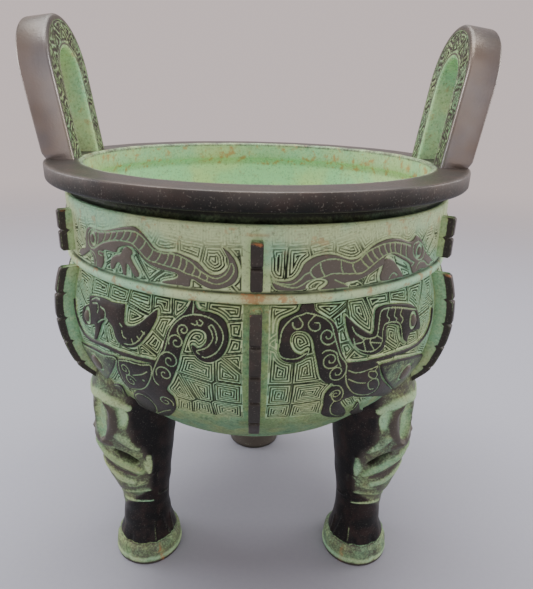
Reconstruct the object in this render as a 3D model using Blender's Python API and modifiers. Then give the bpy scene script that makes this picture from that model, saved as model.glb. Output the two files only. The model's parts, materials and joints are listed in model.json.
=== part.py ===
"""Cast bronze ding: a round bowl on three hoofed legs, with two upright ears on its rim.

The whole vessel is one casting. Its outside carries six notched flanges, a row of dragons
above a ridge ring, and below it a row of beast faces with hooked trunks and small serpents.
Z is up and the origin is on the floor under the bowl's centre. The front is towards -Y.
"""

import math

import bmesh
import bpy
import numpy as np
from mathutils import Matrix, Vector
from mathutils.geometry import delaunay_2d_cdt

# Bowl, in metres and degrees
RIM_RADIUS = 0.075
RIM_WIDTH = 0.0125
RIM_THICKNESS = 0.0055
RIM_ROUNDING = 0.0012
RIM_TOP = 0.160
WALL = 0.004
RECESS_HEIGHT = 0.004
BAND_RADIUS = 0.0692
BELLY_RADIUS = 0.0715
BELLY_LEVEL = 0.112
BELLY_DEPTH = 0.0562
RIDGE_LEVEL = 0.1302
RIDGE_HEIGHT = 0.0032
RIDGE_PROUD = 0.0012

# Ears
EAR_HEIGHT = 0.0470
EAR_WIDTH = 0.0385
EAR_THICKNESS = 0.0106
EAR_BAR = 0.0078
EAR_TOP_BAR = 0.0090
EAR_SHOULDER = 0.0177
EAR_LEAN = 8.2
EAR_ROUNDING = 0.0010

# Legs
LEG_COUNT = 3
LEG_CIRCLE = 0.0512
FOOT_RADIUS = 0.0136
HOOF_HEIGHT = 0.0085
ANKLE_RADIUS = 0.0091
ANKLE_LEVEL = 0.023
KNEE_RADIUS = 0.0098
MASK_BOTTOM = 0.033
SHOULDER_RADIUS = 0.0142
MASK_PROUD = 0.0040
MASK_RELIEF = 0.0022
MOUTH_DEPTH = 0.0035
MOUTH_GAPE = 0.0026
MOUTH_LENGTH = 0.0068
MOUTH_LEVEL = 0.0445
MOUTH_ANGLE = 36
MOUTH_SLANT = 24
MASK_HALF_ANGLE = 95

# Flanges
FLANGE_THICKNESS = 0.0034
UPPER_FLANGE_PROUD = 0.0043
LOWER_FLANGE_PROUD = 0.0060
FLANGE_END = 0.0840
UPPER_FLANGE_DROP = 0.0038
NOTCH_WIDTH = 0.0009
NOTCH_DEPTH = 0.0011
FLANGE_TAPER = 0.35

# Raised figures
DRAGON_RELIEF = 0.0010
BEAST_RELIEF = 0.0012
EYE_RELIEF = 0.0018
LOWER_BAND_LENGTH = 0.048

# Facets and smoothing
SMOOTH_ANGLE = 25
EAR_STEPS = 11
SECTOR_COUNT = 6
TURN_STEPS = 36
INSIDE_STEPS = 5
OUTSIDE_STEPS = 8
STROKE_PIECES = 1
SECTOR = 2 * math.pi / SECTOR_COUNT
STEP_ANGLE = 2 * math.pi / TURN_STEPS
ROOT = 0.45 * WALL

MOUTH_RADIUS = RIM_RADIUS - RIM_WIDTH
NECK_RADIUS = MOUTH_RADIUS + WALL
RIM_UNDERSIDE = RIM_TOP - RIM_THICKNESS
BAND_TOP = RIM_UNDERSIDE - RECESS_HEIGHT
RIDGE_TOP = RIDGE_LEVEL + RIDGE_HEIGHT / 2
RIDGE_BOTTOM = RIDGE_LEVEL - RIDGE_HEIGHT / 2
UPPER_BAND_LENGTH = BAND_TOP - RIDGE_TOP
RIDGE_RADIUS = BAND_RADIUS + RIDGE_PROUD

# Figures are strokes. Each point gives the share of the sector from the dividing flange, the
# share of the band from its top, and the stroke's width in millimetres.
DRAGON_CURLED = (
    ((0.79, 0.62, 2.0), (0.775, 0.5, 6.0), (0.70, 0.48, 5.0), (0.60, 0.40, 5.5), (0.50, 0.36, 7.0),
     (0.43, 0.47, 6.5), (0.37, 0.58, 5.2), (0.29, 0.62, 5.6), (0.23, 0.71, 4.8), (0.18, 0.82, 3.6),
     (0.13, 0.86, 3.0), (0.092, 0.77, 2.8), (0.085, 0.60, 2.2), (0.11, 0.38, 0.8)),
    ((0.775, 0.62, 3.0), (0.80, 0.78, 2.6), (0.86, 0.82, 1.6)),
    ((0.57, 0.45, 3.2), (0.60, 0.70, 3.2), (0.63, 0.90, 2.2)),
    ((0.56, 0.66, 2.8), (0.51, 0.78, 2.6), (0.485, 0.92, 2.0)),
    ((0.25, 0.72, 4.0), (0.29, 0.88, 3.0), (0.365, 0.92, 1.6)),
)
DRAGON_HUMPED = (
    ((0.76, 0.66, 2.0), (0.735, 0.52, 6.0), (0.66, 0.48, 4.4), (0.55, 0.44, 5.2), (0.45, 0.55, 5.8),
     (0.39, 0.65, 5.0), (0.34, 0.68, 5.4), (0.28, 0.67, 7.4), (0.22, 0.71, 7.2), (0.17, 0.79, 5.4),
     (0.12, 0.86, 3.2), (0.075, 0.84, 2.2), (0.05, 0.70, 0.8)),
    ((0.735, 0.62, 3.0), (0.755, 0.80, 2.8), (0.72, 0.92, 2.0)),
    ((0.57, 0.52, 4.4), (0.54, 0.72, 4.2), (0.51, 0.90, 2.6)),
    ((0.55, 0.74, 3.0), (0.58, 0.90, 2.2)),
    ((0.27, 0.78, 4.4), (0.30, 0.92, 2.6), (0.355, 0.93, 1.6)),
)
TRUNK = (
    (0.36, 0.92, 2.0), (0.35, 0.82, 5.0), (0.385, 0.70, 6.4), (0.355, 0.54, 7.4), (0.325, 0.39, 7.6),
    (0.297, 0.25, 7.0), (0.262, 0.13, 6.4), (0.215, 0.082, 5.0), (0.165, 0.10, 5.2),
    (0.14, 0.18, 5.6), (0.150, 0.255, 5.0), (0.19, 0.292, 3.2), (0.228, 0.26, 1.0),
)
CREST = ((0.245, 0.10, 5.0), (0.245, 0.025, 2.0))
BODY_BAND = (
    (0.36, 0.40, 2.4), (0.50, 0.435, 2.6), (0.65, 0.45, 2.6), (0.80, 0.44, 2.6), (0.90, 0.37, 2.6),
    (0.935, 0.22, 2.0),
)
CHEEK = ((0.61, 0.51, 3.0), (0.54, 0.53, 7.4), (0.455, 0.60, 8.6), (0.425, 0.68, 6.0))
JAW_LEAF = ((0.56, 0.72, 1.0), (0.535, 0.80, 5.0), (0.50, 0.93, 1.4))
BROW = ((0.68, 0.56, 1.6), (0.75, 0.55, 2.4), (0.83, 0.57, 2.4), (0.875, 0.66, 1.6))
EYE = ((0.735, 0.655, 3.0), (0.757, 0.655, 5.8), (0.793, 0.655, 5.8), (0.815, 0.655, 3.0))
SERPENT = (
    (0.385, 0.07, 0.8), (0.41, 0.16, 2.6), (0.45, 0.26, 3.8), (0.52, 0.295, 4.4), (0.575, 0.23, 4.6),
    (0.60, 0.14, 5.0), (0.66, 0.105, 5.4), (0.73, 0.15, 6.6), (0.765, 0.22, 4.0),
)
SERPENT_BEAK = ((0.73, 0.20, 3.0), (0.715, 0.28, 2.6), (0.715, 0.35, 1.2))

BEAST_STROKES = (TRUNK, CREST, BODY_BAND, CHEEK, SERPENT)
BEAST_DETAILS = (JAW_LEAF, BROW, SERPENT_BEAK)

# Carving on a leg's mask: angle from its outward line in degrees, level, height as a share of
# MASK_RELIEF, spread in degrees and spread in level. Each stands on both sides of the line.
MASK_FEATURES = (
    (15.0, 0.0615, 1.0, 7.0, 0.0075),
    (0.0, 0.0590, -0.9, 5.0, 0.0055),
    (32.0, 0.0620, -1.0, 9.0, 0.0040),
    (30.0, 0.0700, 1.0, 20.0, 0.0028),
    (52.0, 0.0640, 0.9, 10.0, 0.0090),
    (20.0, 0.0505, 1.0, 24.0, 0.0022),
    (34.0, 0.0400, 0.9, 24.0, 0.0022),
    (0.0, 0.0460, 0.8, 9.0, 0.0060),
    (34.0, 0.0790, 0.9, 14.0, 0.0030),
)
# The hoof's outline: shares of HOOF_HEIGHT and of FOOT_RADIUS.
HOOF_PROFILE = ((0.0, 0.97), (0.2, 1.0), (0.85, 0.95), (1.0, 0.86), (1.76, 0.71))

LEG_ROUND_STEPS = (7, 5)
MASK_LEVELS = 11


def clear_scene():
    """Removes what the startup scene holds."""
    for old in list(bpy.data.objects):
        bpy.data.objects.remove(old, do_unlink=True)


def belly_radius(level, wall=0.0):
    """Radius of the belly's ellipse at a level, inside it by a wall."""
    share = (BELLY_LEVEL - level) / (BELLY_DEPTH - wall)
    return (BELLY_RADIUS - wall) * math.sqrt(max(0.0, 1 - share * share))


def belly_level(radius, wall=0.0):
    """Level of the belly's underside at a distance from the axis."""
    share = min(1.0, radius / (BELLY_RADIUS - wall))
    return BELLY_LEVEL - (BELLY_DEPTH - wall) * math.sqrt(1 - share * share)


def outer_radius(level):
    """Radius of the outside wall under the rim, without the ridge."""
    return BAND_RADIUS if level > RIDGE_LEVEL else belly_radius(level)


def quarter(centre, radius, start, steps):
    """Points of a quarter circle in the (radius, level) plane, clockwise from an angle in degrees."""
    angles = [math.radians(start - 90 * i / steps) for i in range(steps + 1)]
    return [(centre[0] + radius * math.cos(a), centre[1] + radius * math.sin(a)) for a in angles]


def bowl_profile():
    """Half section from the inside bottom over the rim and down the outside."""
    inside = []
    for i in range(INSIDE_STEPS + 1):
        angle = math.radians(90 - 88 * i / INSIDE_STEPS)
        radius = (BELLY_RADIUS - WALL) * math.cos(angle)
        inside.append((radius, BELLY_LEVEL - (BELLY_DEPTH - WALL) * math.sin(angle)))
    inside[0] = (0.0, BELLY_LEVEL - BELLY_DEPTH + WALL)
    inside.append((BAND_RADIUS - WALL, RIDGE_LEVEL))
    inside.append((MOUTH_RADIUS, BAND_TOP))
    soft = RIM_ROUNDING
    rim = quarter((MOUTH_RADIUS + soft, RIM_TOP - soft), soft, 180, 1)
    rim += quarter((RIM_RADIUS - soft, RIM_TOP - soft), soft, 90, 2)
    rim += quarter((RIM_RADIUS - soft, RIM_UNDERSIDE + soft), soft, 0, 1)
    neck = [(NECK_RADIUS, RIM_UNDERSIDE), (NECK_RADIUS, BAND_TOP), (BAND_RADIUS, BAND_TOP)]
    ridge = [
        (BAND_RADIUS, RIDGE_TOP),
        (RIDGE_RADIUS, RIDGE_TOP - RIDGE_HEIGHT / 4),
        (RIDGE_RADIUS, RIDGE_BOTTOM + RIDGE_HEIGHT / 4),
    ]
    start = math.asin((BELLY_LEVEL - RIDGE_BOTTOM) / BELLY_DEPTH)
    belly = []
    for i in range(OUTSIDE_STEPS + 1):
        angle = start + (math.pi / 2 - start) * i / OUTSIDE_STEPS
        belly.append((BELLY_RADIUS * math.cos(angle), BELLY_LEVEL - BELLY_DEPTH * math.sin(angle)))
    belly[-1] = (0.0, BELLY_LEVEL - BELLY_DEPTH)
    return inside + rim + neck + ridge + belly


def new_object(name, mesh, collection):
    """Wraps a mesh in an object and puts it in a collection."""
    made = bpy.data.objects.new(name, mesh)
    collection.objects.link(made)
    return made


def helper(name, mesh, collection):
    """An object that only cuts or adds to another one."""
    made = new_object(name, mesh, collection)
    made.hide_render = True
    made.display_type = "WIRE"
    return made


def mesh_of(name, work):
    """Turns a bmesh into a mesh."""
    mesh = bpy.data.meshes.new(name)
    work.to_mesh(mesh)
    work.free()
    return mesh


def mesh_from(name, work):
    """Turns a bmesh of one piece into a mesh whose faces point outwards."""
    bmesh.ops.recalc_face_normals(work, faces=work.faces[:])
    return mesh_of(name, work)


def make_bowl(collection):
    """The bowl with its rim, neck, ridge and belly, turned round Z."""
    points = [(radius, 0.0, level) for radius, level in bowl_profile()]
    mesh = bpy.data.meshes.new("ding_vessel")
    mesh.from_pydata(points, [(i, i + 1) for i in range(len(points) - 1)], [])
    bowl = new_object("ding_vessel", mesh, collection)
    screw = bowl.modifiers.new("turn", "SCREW")
    screw.axis = "Z"
    screw.angle = 2 * math.pi
    screw.steps = TURN_STEPS
    screw.render_steps = TURN_STEPS
    screw.use_merge_vertices = True
    screw.merge_threshold = 0.00001
    return bowl


def arch_outline(half_width, height, root, shoulder, steps):
    """Outline of an upright with a round top, from its left foot over the top to its right foot."""
    points = [(-half_width, -root)]
    for i in range(steps + 1):
        angle = math.pi - math.pi * i / steps
        points.append((half_width * math.cos(angle), height - shoulder + shoulder * math.sin(angle)))
    points.append((half_width, -root))
    return points


def ear_mesh():
    """A thick upturned U, lying in the YZ plane with its inner face at X = 0."""
    root = RIM_THICKNESS / 2
    half = EAR_WIDTH / 2
    outside = arch_outline(half, EAR_HEIGHT, root, EAR_SHOULDER, EAR_STEPS)
    inside = arch_outline(half - EAR_BAR, EAR_HEIGHT - EAR_TOP_BAR, root, half - EAR_BAR, EAR_STEPS - 2)
    outline = outside + inside[::-1]
    work = bmesh.new()
    corners = [work.verts.new((0.0, y, z)) for y, z in outline]
    face = work.faces.new(corners)
    pushed = bmesh.ops.extrude_face_region(work, geom=[face])
    moved = [v for v in pushed["geom"] if isinstance(v, bmesh.types.BMVert)]
    bmesh.ops.translate(work, verts=moved, vec=(EAR_THICKNESS, 0.0, 0.0))
    bmesh.ops.recalc_face_normals(work, faces=work.faces[:])
    rims = [e for e in work.edges if abs(e.verts[0].co.x - e.verts[1].co.x) < 1e-6]
    rims = [e for e in rims if e.verts[0].co.z > 0 or e.verts[1].co.z > 0]
    bmesh.ops.bevel(work, geom=rims, offset=EAR_ROUNDING, segments=1, affect="EDGES")
    return mesh_from("ear", work)


def make_ears(collection):
    """Two ears on the rim, at the left and the right, leaning outwards."""
    made = []
    mesh = ear_mesh()
    for side in (0, 1):
        ear = helper(f"ear_{side}", mesh.copy(), collection)
        foot = Matrix.Translation((MOUTH_RADIUS, 0.0, RIM_TOP))
        place = Matrix.Rotation(math.pi * side, 4, "Z") @ foot
        lean = Matrix.Rotation(math.radians(EAR_LEAN), 4, "Y")
        ear.data.transform(place @ lean)
        made.append(ear)
    return made


def shaft_radius(level):
    """Radius of a leg without its mask."""
    levels = [HOOF_HEIGHT * share for share, _wide in HOOF_PROFILE] + [ANKLE_LEVEL, MASK_BOTTOM]
    radii = [FOOT_RADIUS * wide for _share, wide in HOOF_PROFILE] + [ANKLE_RADIUS, KNEE_RADIUS]
    shoulder = BELLY_LEVEL - BELLY_DEPTH + (SHOULDER_RADIUS - KNEE_RADIUS)
    levels += [shoulder, shoulder + SHOULDER_RADIUS]
    radii += [SHOULDER_RADIUS * 0.93, SHOULDER_RADIUS]
    return float(np.interp(level, levels, radii))


def mask_top():
    """Level where the mask has run back into the bowl."""
    return belly_level(LEG_CIRCLE + SHOULDER_RADIUS) + MASK_PROUD


def leg_radius(angle, level):
    """Distance of a leg's surface from its own axis; the angle is from its outward line."""
    radius = shaft_radius(level)
    if level <= MASK_BOTTOM:
        return radius
    top = mask_top()
    share = (level - MASK_BOTTOM) / (top - MASK_BOTTOM)
    rise = math.sin(math.pi * min(1.0, max(0.0, share)) ** 0.8) ** 0.7 if share < 1 else 0.0
    facing = max(0.0, math.cos(angle * 0.8)) ** 1.5 if abs(angle) < math.pi / 1.6 else 0.0
    radius += MASK_PROUD * rise * facing
    fade = min(1.0, max(0.0, (top - level) / 0.006))
    degrees = abs(math.degrees(angle))
    for place, height, share, wide, tall in MASK_FEATURES:
        falloff = ((degrees - place) / wide) ** 2 + ((level - height) / tall) ** 2
        radius += MASK_RELIEF * share * fade * math.exp(-falloff)
    return radius


def leg_point(angle, level, azimuth):
    """World point on a leg whose outward line has an azimuth from the front."""
    radius = leg_radius(angle, level)
    along = LEG_CIRCLE + radius * math.cos(angle)
    across = radius * math.sin(angle)
    x = along * math.sin(azimuth) + across * math.cos(azimuth)
    y = -along * math.cos(azimuth) + across * math.sin(azimuth)
    return (x, y, level)


def leg_top(angle):
    """Level where a leg's surface at an angle meets the bowl."""
    low = MASK_BOTTOM
    high = BELLY_LEVEL
    for _ in range(40):
        middle = (low + high) / 2
        x, y, _z = leg_point(angle, middle, 0.0)
        if middle < belly_level(math.hypot(x, y)):
            low = middle
        else:
            high = middle
    return low


def leg_angles():
    """Angles round a leg, closer together over the mask."""
    front, back = LEG_ROUND_STEPS
    half = math.radians(MASK_HALF_ANGLE)
    angles = [-half + 2 * half * i / (2 * front) for i in range(2 * front + 1)]
    rest = 2 * math.pi - 2 * half
    return angles + [half + rest * i / back for i in range(1, back)]


def leg_mesh(azimuth):
    """A leg as a loft of rings from its flat hoof up into the bowl's wall."""
    turned = [(a + math.pi) % (2 * math.pi) - math.pi for a in leg_angles()]
    lower = [0.0, HOOF_HEIGHT * 0.2, HOOF_HEIGHT, (HOOF_HEIGHT + ANKLE_LEVEL) / 2, ANKLE_LEVEL]
    work = bmesh.new()
    rings = [[work.verts.new(leg_point(a, z, azimuth)) for a in turned] for z in lower]
    tops = [leg_top(a) for a in turned]
    for i in range(MASK_LEVELS + 1):
        share = i / MASK_LEVELS
        levels = [MASK_BOTTOM + (top - MASK_BOTTOM) * share for top in tops]
        rings.append([work.verts.new(leg_point(a, z, azimuth)) for a, z in zip(turned, levels)])
    root = []
    for vert in rings[-1]:
        flat = math.hypot(vert.co.x, vert.co.y)
        shrink = 1 - 0.5 * ROOT / flat
        root.append(work.verts.new((vert.co.x * shrink, vert.co.y * shrink, vert.co.z + ROOT)))
    rings.append(root)
    count = len(turned)
    for below, above in zip(rings, rings[1:]):
        for i in range(count):
            j = (i + 1) % count
            work.faces.new((below[i], below[j], above[j], above[i]))
    work.faces.new(rings[0][::-1])
    x, y = (LEG_CIRCLE * math.sin(azimuth), -LEG_CIRCLE * math.cos(azimuth))
    peak = work.verts.new((x, y, belly_level(LEG_CIRCLE) + ROOT))
    for i in range(count):
        work.faces.new((rings[-1][i], rings[-1][(i + 1) % count], peak))
    bmesh.ops.triangulate(work, faces=work.faces[:])
    return mesh_from("leg", work)


def mouth_mesh(azimuth, side):
    """A slanted slot at one side of a mask's snout."""
    angle = math.radians(MOUTH_ANGLE) * side
    x, y, z = leg_point(angle, MOUTH_LEVEL, azimuth)
    work = bmesh.new()
    bmesh.ops.create_cube(work, size=1.0)
    bmesh.ops.scale(work, vec=(MOUTH_DEPTH * 2, MOUTH_LENGTH, MOUTH_GAPE), verts=work.verts[:])
    heading = azimuth + angle - math.pi / 2
    slant = -side * math.radians(MOUTH_SLANT)
    turn = Matrix.Rotation(heading, 4, "Z") @ Matrix.Rotation(slant, 4, "X")
    bmesh.ops.transform(work, matrix=Matrix.Translation((x, y, z)) @ turn, verts=work.verts[:])
    return mesh_from("mouth", work)


def make_legs(additions, cutters):
    """Legs at 60 degrees either side of the front and at the back, with the slots in their masks."""
    legs = []
    slots = []
    for i in range(LEG_COUNT):
        azimuth = math.pi + 2 * math.pi * i / LEG_COUNT
        legs.append(helper(f"leg_{i}", leg_mesh(azimuth), additions))
        for side in (-1, 1):
            slots.append(helper(f"mouth_{i}_{side + 1}", mouth_mesh(azimuth, side), cutters))
    return legs, slots


def flange_outline(top, bottom, proud, notches):
    """Outline of a flange in the (radius, level) plane: a notched edge outside, a root in the wall."""
    pitch = (top - bottom) / (notches + 1)
    edge = []
    root = []
    for i in range(notches + 2):
        level = top - pitch * i
        taper = FLANGE_TAPER if i == notches + 1 and bottom < BELLY_LEVEL else 0.0
        radius = outer_radius(level) + proud * (1 - taper)
        root.append((outer_radius(level) - ROOT, level))
        if 0 < i <= notches:
            edge.append((radius, level + NOTCH_WIDTH / 2))
            edge.append((radius - NOTCH_DEPTH, level))
            edge.append((radius, level - NOTCH_WIDTH / 2))
        else:
            edge.append((radius, level))
    return edge + root[::-1]


def flange_mesh(outline, azimuth):
    """A flange's plate, set upright on the wall at an azimuth from the front."""
    work = bmesh.new()
    half = FLANGE_THICKNESS / 2
    face = work.faces.new([work.verts.new((radius, -half, level)) for radius, level in outline])
    pushed = bmesh.ops.extrude_face_region(work, geom=[face])
    moved = [v for v in pushed["geom"] if isinstance(v, bmesh.types.BMVert)]
    bmesh.ops.translate(work, verts=moved, vec=(0.0, FLANGE_THICKNESS, 0.0))
    bmesh.ops.triangulate(work, faces=work.faces[:])
    bmesh.ops.rotate(work, matrix=Matrix.Rotation(azimuth - math.pi / 2, 3, "Z"), verts=work.verts[:])
    return mesh_from("flange", work)


def make_flanges(collection):
    """Six flanges, each in an upper and a lower length."""
    made = []
    gap = RIDGE_HEIGHT / 2
    upper = flange_outline(BAND_TOP - UPPER_FLANGE_DROP, RIDGE_TOP + gap, UPPER_FLANGE_PROUD, 1)
    lower = flange_outline(RIDGE_BOTTOM - gap / 2, FLANGE_END, LOWER_FLANGE_PROUD, 4)
    for i in range(SECTOR_COUNT):
        azimuth = SECTOR * i
        made.append(helper(f"flange_upper_{i}", flange_mesh(upper, azimuth), collection))
        made.append(helper(f"flange_lower_{i}", flange_mesh(lower, azimuth), collection))
    return made


def belly_arc():
    """Levels and their distance along the belly from the ridge's foot."""
    levels = np.linspace(RIDGE_BOTTOM, BELLY_LEVEL - BELLY_DEPTH * 0.9, 400)
    radii = np.array([belly_radius(level) for level in levels])
    steps = np.hypot(np.diff(levels), np.diff(radii))
    return levels, np.concatenate([[0.0], np.cumsum(steps)])


BELLY_LEVELS, BELLY_LENGTHS = belly_arc()


def upper_place(across, down, lift):
    """World point on the upper band: azimuth, distance below its top, height off the wall."""
    radius = BAND_RADIUS + lift
    return (radius * math.sin(across), -radius * math.cos(across), BAND_TOP - down)


def lower_place(across, down, lift):
    """World point on the belly: azimuth, distance along it from the ridge, height off the wall."""
    level = float(np.interp(down, BELLY_LENGTHS, BELLY_LEVELS))
    radius = belly_radius(level)
    slope = math.atan2((BELLY_LEVEL - level) / BELLY_DEPTH**2, radius / BELLY_RADIUS**2)
    out = radius + lift * math.cos(slope)
    return (out * math.sin(across), -out * math.cos(across), level - lift * math.sin(slope))


def smooth_path(points, pieces):
    """Catmull-Rom curve through points, each span in a number of pieces."""
    spots = np.array(points, float)
    before = np.vstack([2 * spots[0] - spots[1], spots, 2 * spots[-1] - spots[-2]])
    made = []
    for i in range(len(spots) - 1):
        a, b, c, d = before[i : i + 4]
        for j in range(pieces):
            t = j / pieces
            bend = (2 * a - 5 * b + 4 * c - d) * t**2 + (3 * b - a - 3 * c + d) * t**3
            made.append(0.5 * (2 * b + (c - a) * t + bend))
    made.append(spots[-1])
    return np.array(made)


def stroke_outline(points, sector_length, band_length, pieces):
    """Closed outline of a stroke, in metres across the sector and down the band."""
    scaled = [(u * sector_length, v * band_length, width * 0.001) for u, v, width in points]
    path = smooth_path(scaled, pieces)
    along = np.gradient(path[:, :2], axis=0)
    along /= np.linalg.norm(along, axis=1)[:, None]
    side = np.stack([-along[:, 1], along[:, 0]], axis=1) * path[:, 2:3] / 2
    return np.vstack([path[:, :2] - side, (path[:, :2] + side)[::-1]])


def grid_lines(outlines, spacing):
    """Straight cuts across a group of outlines, so that its plate can bend with the wall.

    They run between the wall's own facet edges, so that no two edges lie on one another.
    """
    everything = np.vstack(outlines)
    low, high = everything.min(axis=0), everything.max(axis=0)
    lines = []
    for i in range(math.ceil(low[0] / spacing - 0.5), math.floor(high[0] / spacing - 0.5) + 1):
        lines.append((((i + 0.5) * spacing, low[1]), ((i + 0.5) * spacing, high[1])))
    for i in range(math.ceil(low[1] / spacing - 0.5), math.floor(high[1] / spacing - 0.5) + 1):
        lines.append(((low[0], (i + 0.5) * spacing), (high[0], (i + 0.5) * spacing)))
    return lines


def relief_mesh(outlines, place, base_radius, mirror, azimuth, lift):
    """Overlapping strokes made one plate, bent round the bowl and rooted in its wall.

    Down the band is the sheet's second direction, so a triangle that isn't mirrored is turned
    round to face outwards.
    """
    spots = []
    faces = []
    for outline in outlines:
        faces.append(list(range(len(spots), len(spots) + len(outline))))
        spots += [(float(x), float(y)) for x, y in outline]
    edges = []
    for start, end in grid_lines(outlines, STEP_ANGLE * base_radius):
        edges.append((len(spots), len(spots) + 1))
        spots += [start, end]
    made = delaunay_2d_cdt([Vector(spot) for spot in spots], edges, faces, 0, 0.00002, True)
    kept = [triangle[::-mirror] for triangle, origin in zip(made[2], made[5]) if origin]
    work = bmesh.new()
    upper = {}
    lower = {}
    for i in sorted({i for triangle in kept for i in triangle}):
        across = azimuth + mirror * made[0][i].x / base_radius
        upper[i] = work.verts.new(place(across, made[0][i].y, lift))
        lower[i] = work.verts.new(place(across, made[0][i].y, -ROOT))
    sides = {pair for triangle in kept for pair in zip(triangle, triangle[1:] + triangle[:1])}
    for triangle in kept:
        work.faces.new([upper[i] for i in triangle])
        work.faces.new([lower[i] for i in triangle[::-1]])
    for start, end in sorted(sides):
        if (end, start) not in sides:
            work.faces.new((upper[end], upper[start], lower[start], lower[end]))
    return mesh_of("relief", work)


def band_outlines(strokes, base_radius, band_length):
    """Outlines of strokes on one sector of a band."""
    outlines = []
    for points in strokes:
        outlines.append(stroke_outline(points, SECTOR * base_radius, band_length, STROKE_PIECES))
    return outlines


def make_figures(collection):
    """The raised figures: in each sector a dragon, a beast face with its serpent, and its eye.

    The four sectors that face sideways and back leave out the smallest strokes.
    """
    made = []
    for i in range(SECTOR_COUNT):
        azimuth = SECTOR * 2 * ((i + 1) // 2)
        mirror = 1 if i % 2 == 0 else -1
        shown = i < 2
        dragon = DRAGON_HUMPED if mirror > 0 else DRAGON_CURLED
        outlines = band_outlines(dragon if shown else dragon[::2], BAND_RADIUS, UPPER_BAND_LENGTH)
        mesh = relief_mesh(outlines, upper_place, BAND_RADIUS, mirror, azimuth, DRAGON_RELIEF)
        made.append(helper(f"dragon_{i}", mesh, collection))
        strokes = BEAST_STROKES + BEAST_DETAILS if shown else BEAST_STROKES
        outlines = band_outlines(strokes, BELLY_RADIUS, LOWER_BAND_LENGTH)
        mesh = relief_mesh(outlines, lower_place, BELLY_RADIUS, mirror, azimuth, BEAST_RELIEF)
        made.append(helper(f"beast_{i}", mesh, collection))
        outlines = band_outlines((EYE,), BELLY_RADIUS, LOWER_BAND_LENGTH)
        mesh = relief_mesh(outlines, lower_place, BELLY_RADIUS, mirror, azimuth, EYE_RELIEF)
        made.append(helper(f"eye_{i}", mesh, collection))
    return made


def join_all(target, others, operation, kind, solver="EXACT"):
    """Adds or cuts each helper with its own Boolean.

    The raised plates lie so close to the turned facets that the exact solver leaves open edges
    at some sizes, so they are joined with the manifold one.
    """
    for other in others:
        modifier = target.modifiers.new(f"{kind}_{other.name}", "BOOLEAN")
        modifier.operation = operation
        modifier.solver = solver
        modifier.object = other


def bronze():
    """Dark patinated bronze."""
    material = bpy.data.materials.new("patinated_bronze")
    material.use_nodes = True
    shader = material.node_tree.nodes["Principled BSDF"]
    shader.inputs["Base Color"].default_value = (0.16, 0.26, 0.19, 1.0)
    shader.inputs["Roughness"].default_value = 0.5
    shader.inputs["Metallic"].default_value = 0.6
    return material


def settle(target, angle):
    """Makes the joined shape a plain mesh, smooth but for edges sharper than an angle."""
    bpy.context.view_layer.update()
    graph = bpy.context.evaluated_depsgraph_get()
    mesh = bpy.data.meshes.new_from_object(target.evaluated_get(graph))
    target.modifiers.clear()
    target.data = mesh
    mesh.shade_smooth()
    mesh.set_sharp_from_angle(angle=math.radians(angle))


def main():
    """Builds the vessel as one casting."""
    clear_scene()
    parts = bpy.data.collections.new("ding")
    additions = bpy.data.collections.new("additions")
    cutters = bpy.data.collections.new("cutters")
    for collection in (parts, additions, cutters):
        bpy.context.scene.collection.children.link(collection)
    bowl = make_bowl(parts)
    legs, slots = make_legs(additions, cutters)
    join_all(bowl, make_ears(additions), "UNION", "add")
    join_all(bowl, legs, "UNION", "add")
    join_all(bowl, slots, "DIFFERENCE", "cut")
    join_all(bowl, make_figures(additions), "UNION", "add", "MANIFOLD")
    join_all(bowl, make_flanges(additions), "UNION", "add", "MANIFOLD")
    settle(bowl, SMOOTH_ANGLE)
    bowl.data.materials.clear()
    bowl.data.materials.append(bronze())


main()
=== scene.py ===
"""Dresses a small cast bronze ding: its frieze of dragons and beast faces, its ears, legs and patina.

Every new piece is a closed surface worked out with numpy, in millimetres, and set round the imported
solid. Z is up, the front (a dividing flange between two legs) faces -Y, the ears stand at +X and -X.
"""

import json
import math
from collections import namedtuple

import bpy
import numpy as np
from mathutils import Matrix


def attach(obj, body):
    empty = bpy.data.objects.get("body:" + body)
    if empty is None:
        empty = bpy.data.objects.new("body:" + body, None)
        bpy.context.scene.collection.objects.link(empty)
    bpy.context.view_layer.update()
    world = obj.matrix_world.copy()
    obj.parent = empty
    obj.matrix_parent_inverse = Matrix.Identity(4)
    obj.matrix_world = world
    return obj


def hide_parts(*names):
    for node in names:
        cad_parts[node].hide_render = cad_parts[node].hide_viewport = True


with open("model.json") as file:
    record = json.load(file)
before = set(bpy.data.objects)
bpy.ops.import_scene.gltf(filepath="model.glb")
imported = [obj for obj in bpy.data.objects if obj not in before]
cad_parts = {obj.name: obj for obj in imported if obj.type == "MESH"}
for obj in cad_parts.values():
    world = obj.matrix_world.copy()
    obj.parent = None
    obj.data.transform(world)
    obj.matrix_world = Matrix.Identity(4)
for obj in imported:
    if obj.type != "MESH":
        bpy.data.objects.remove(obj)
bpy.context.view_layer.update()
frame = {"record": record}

bl_info = {
    "name": "Cast bronze ding",
    "version": (1, 0, 0),
    "blender": (4, 5, 0),
    "location": "View3D > Sidebar > Ding",
    "description": "Builds the relief, ears, legs, flanges and patina of a small cast bronze ding",
    "category": "Object",
}

NODE = "ding_vessel"
SLOT = "patinated_bronze"
MM = 0.001
FAR = 50.0
MOUNTS = {mount["name"]: mount["pos_m"] for mount in frame["record"]["mounts"]}

# Stage, in metres
FLOOR_REACH = 1.2
LIGHT_TARGET = (0.0, 0.0, 0.11)

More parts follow.
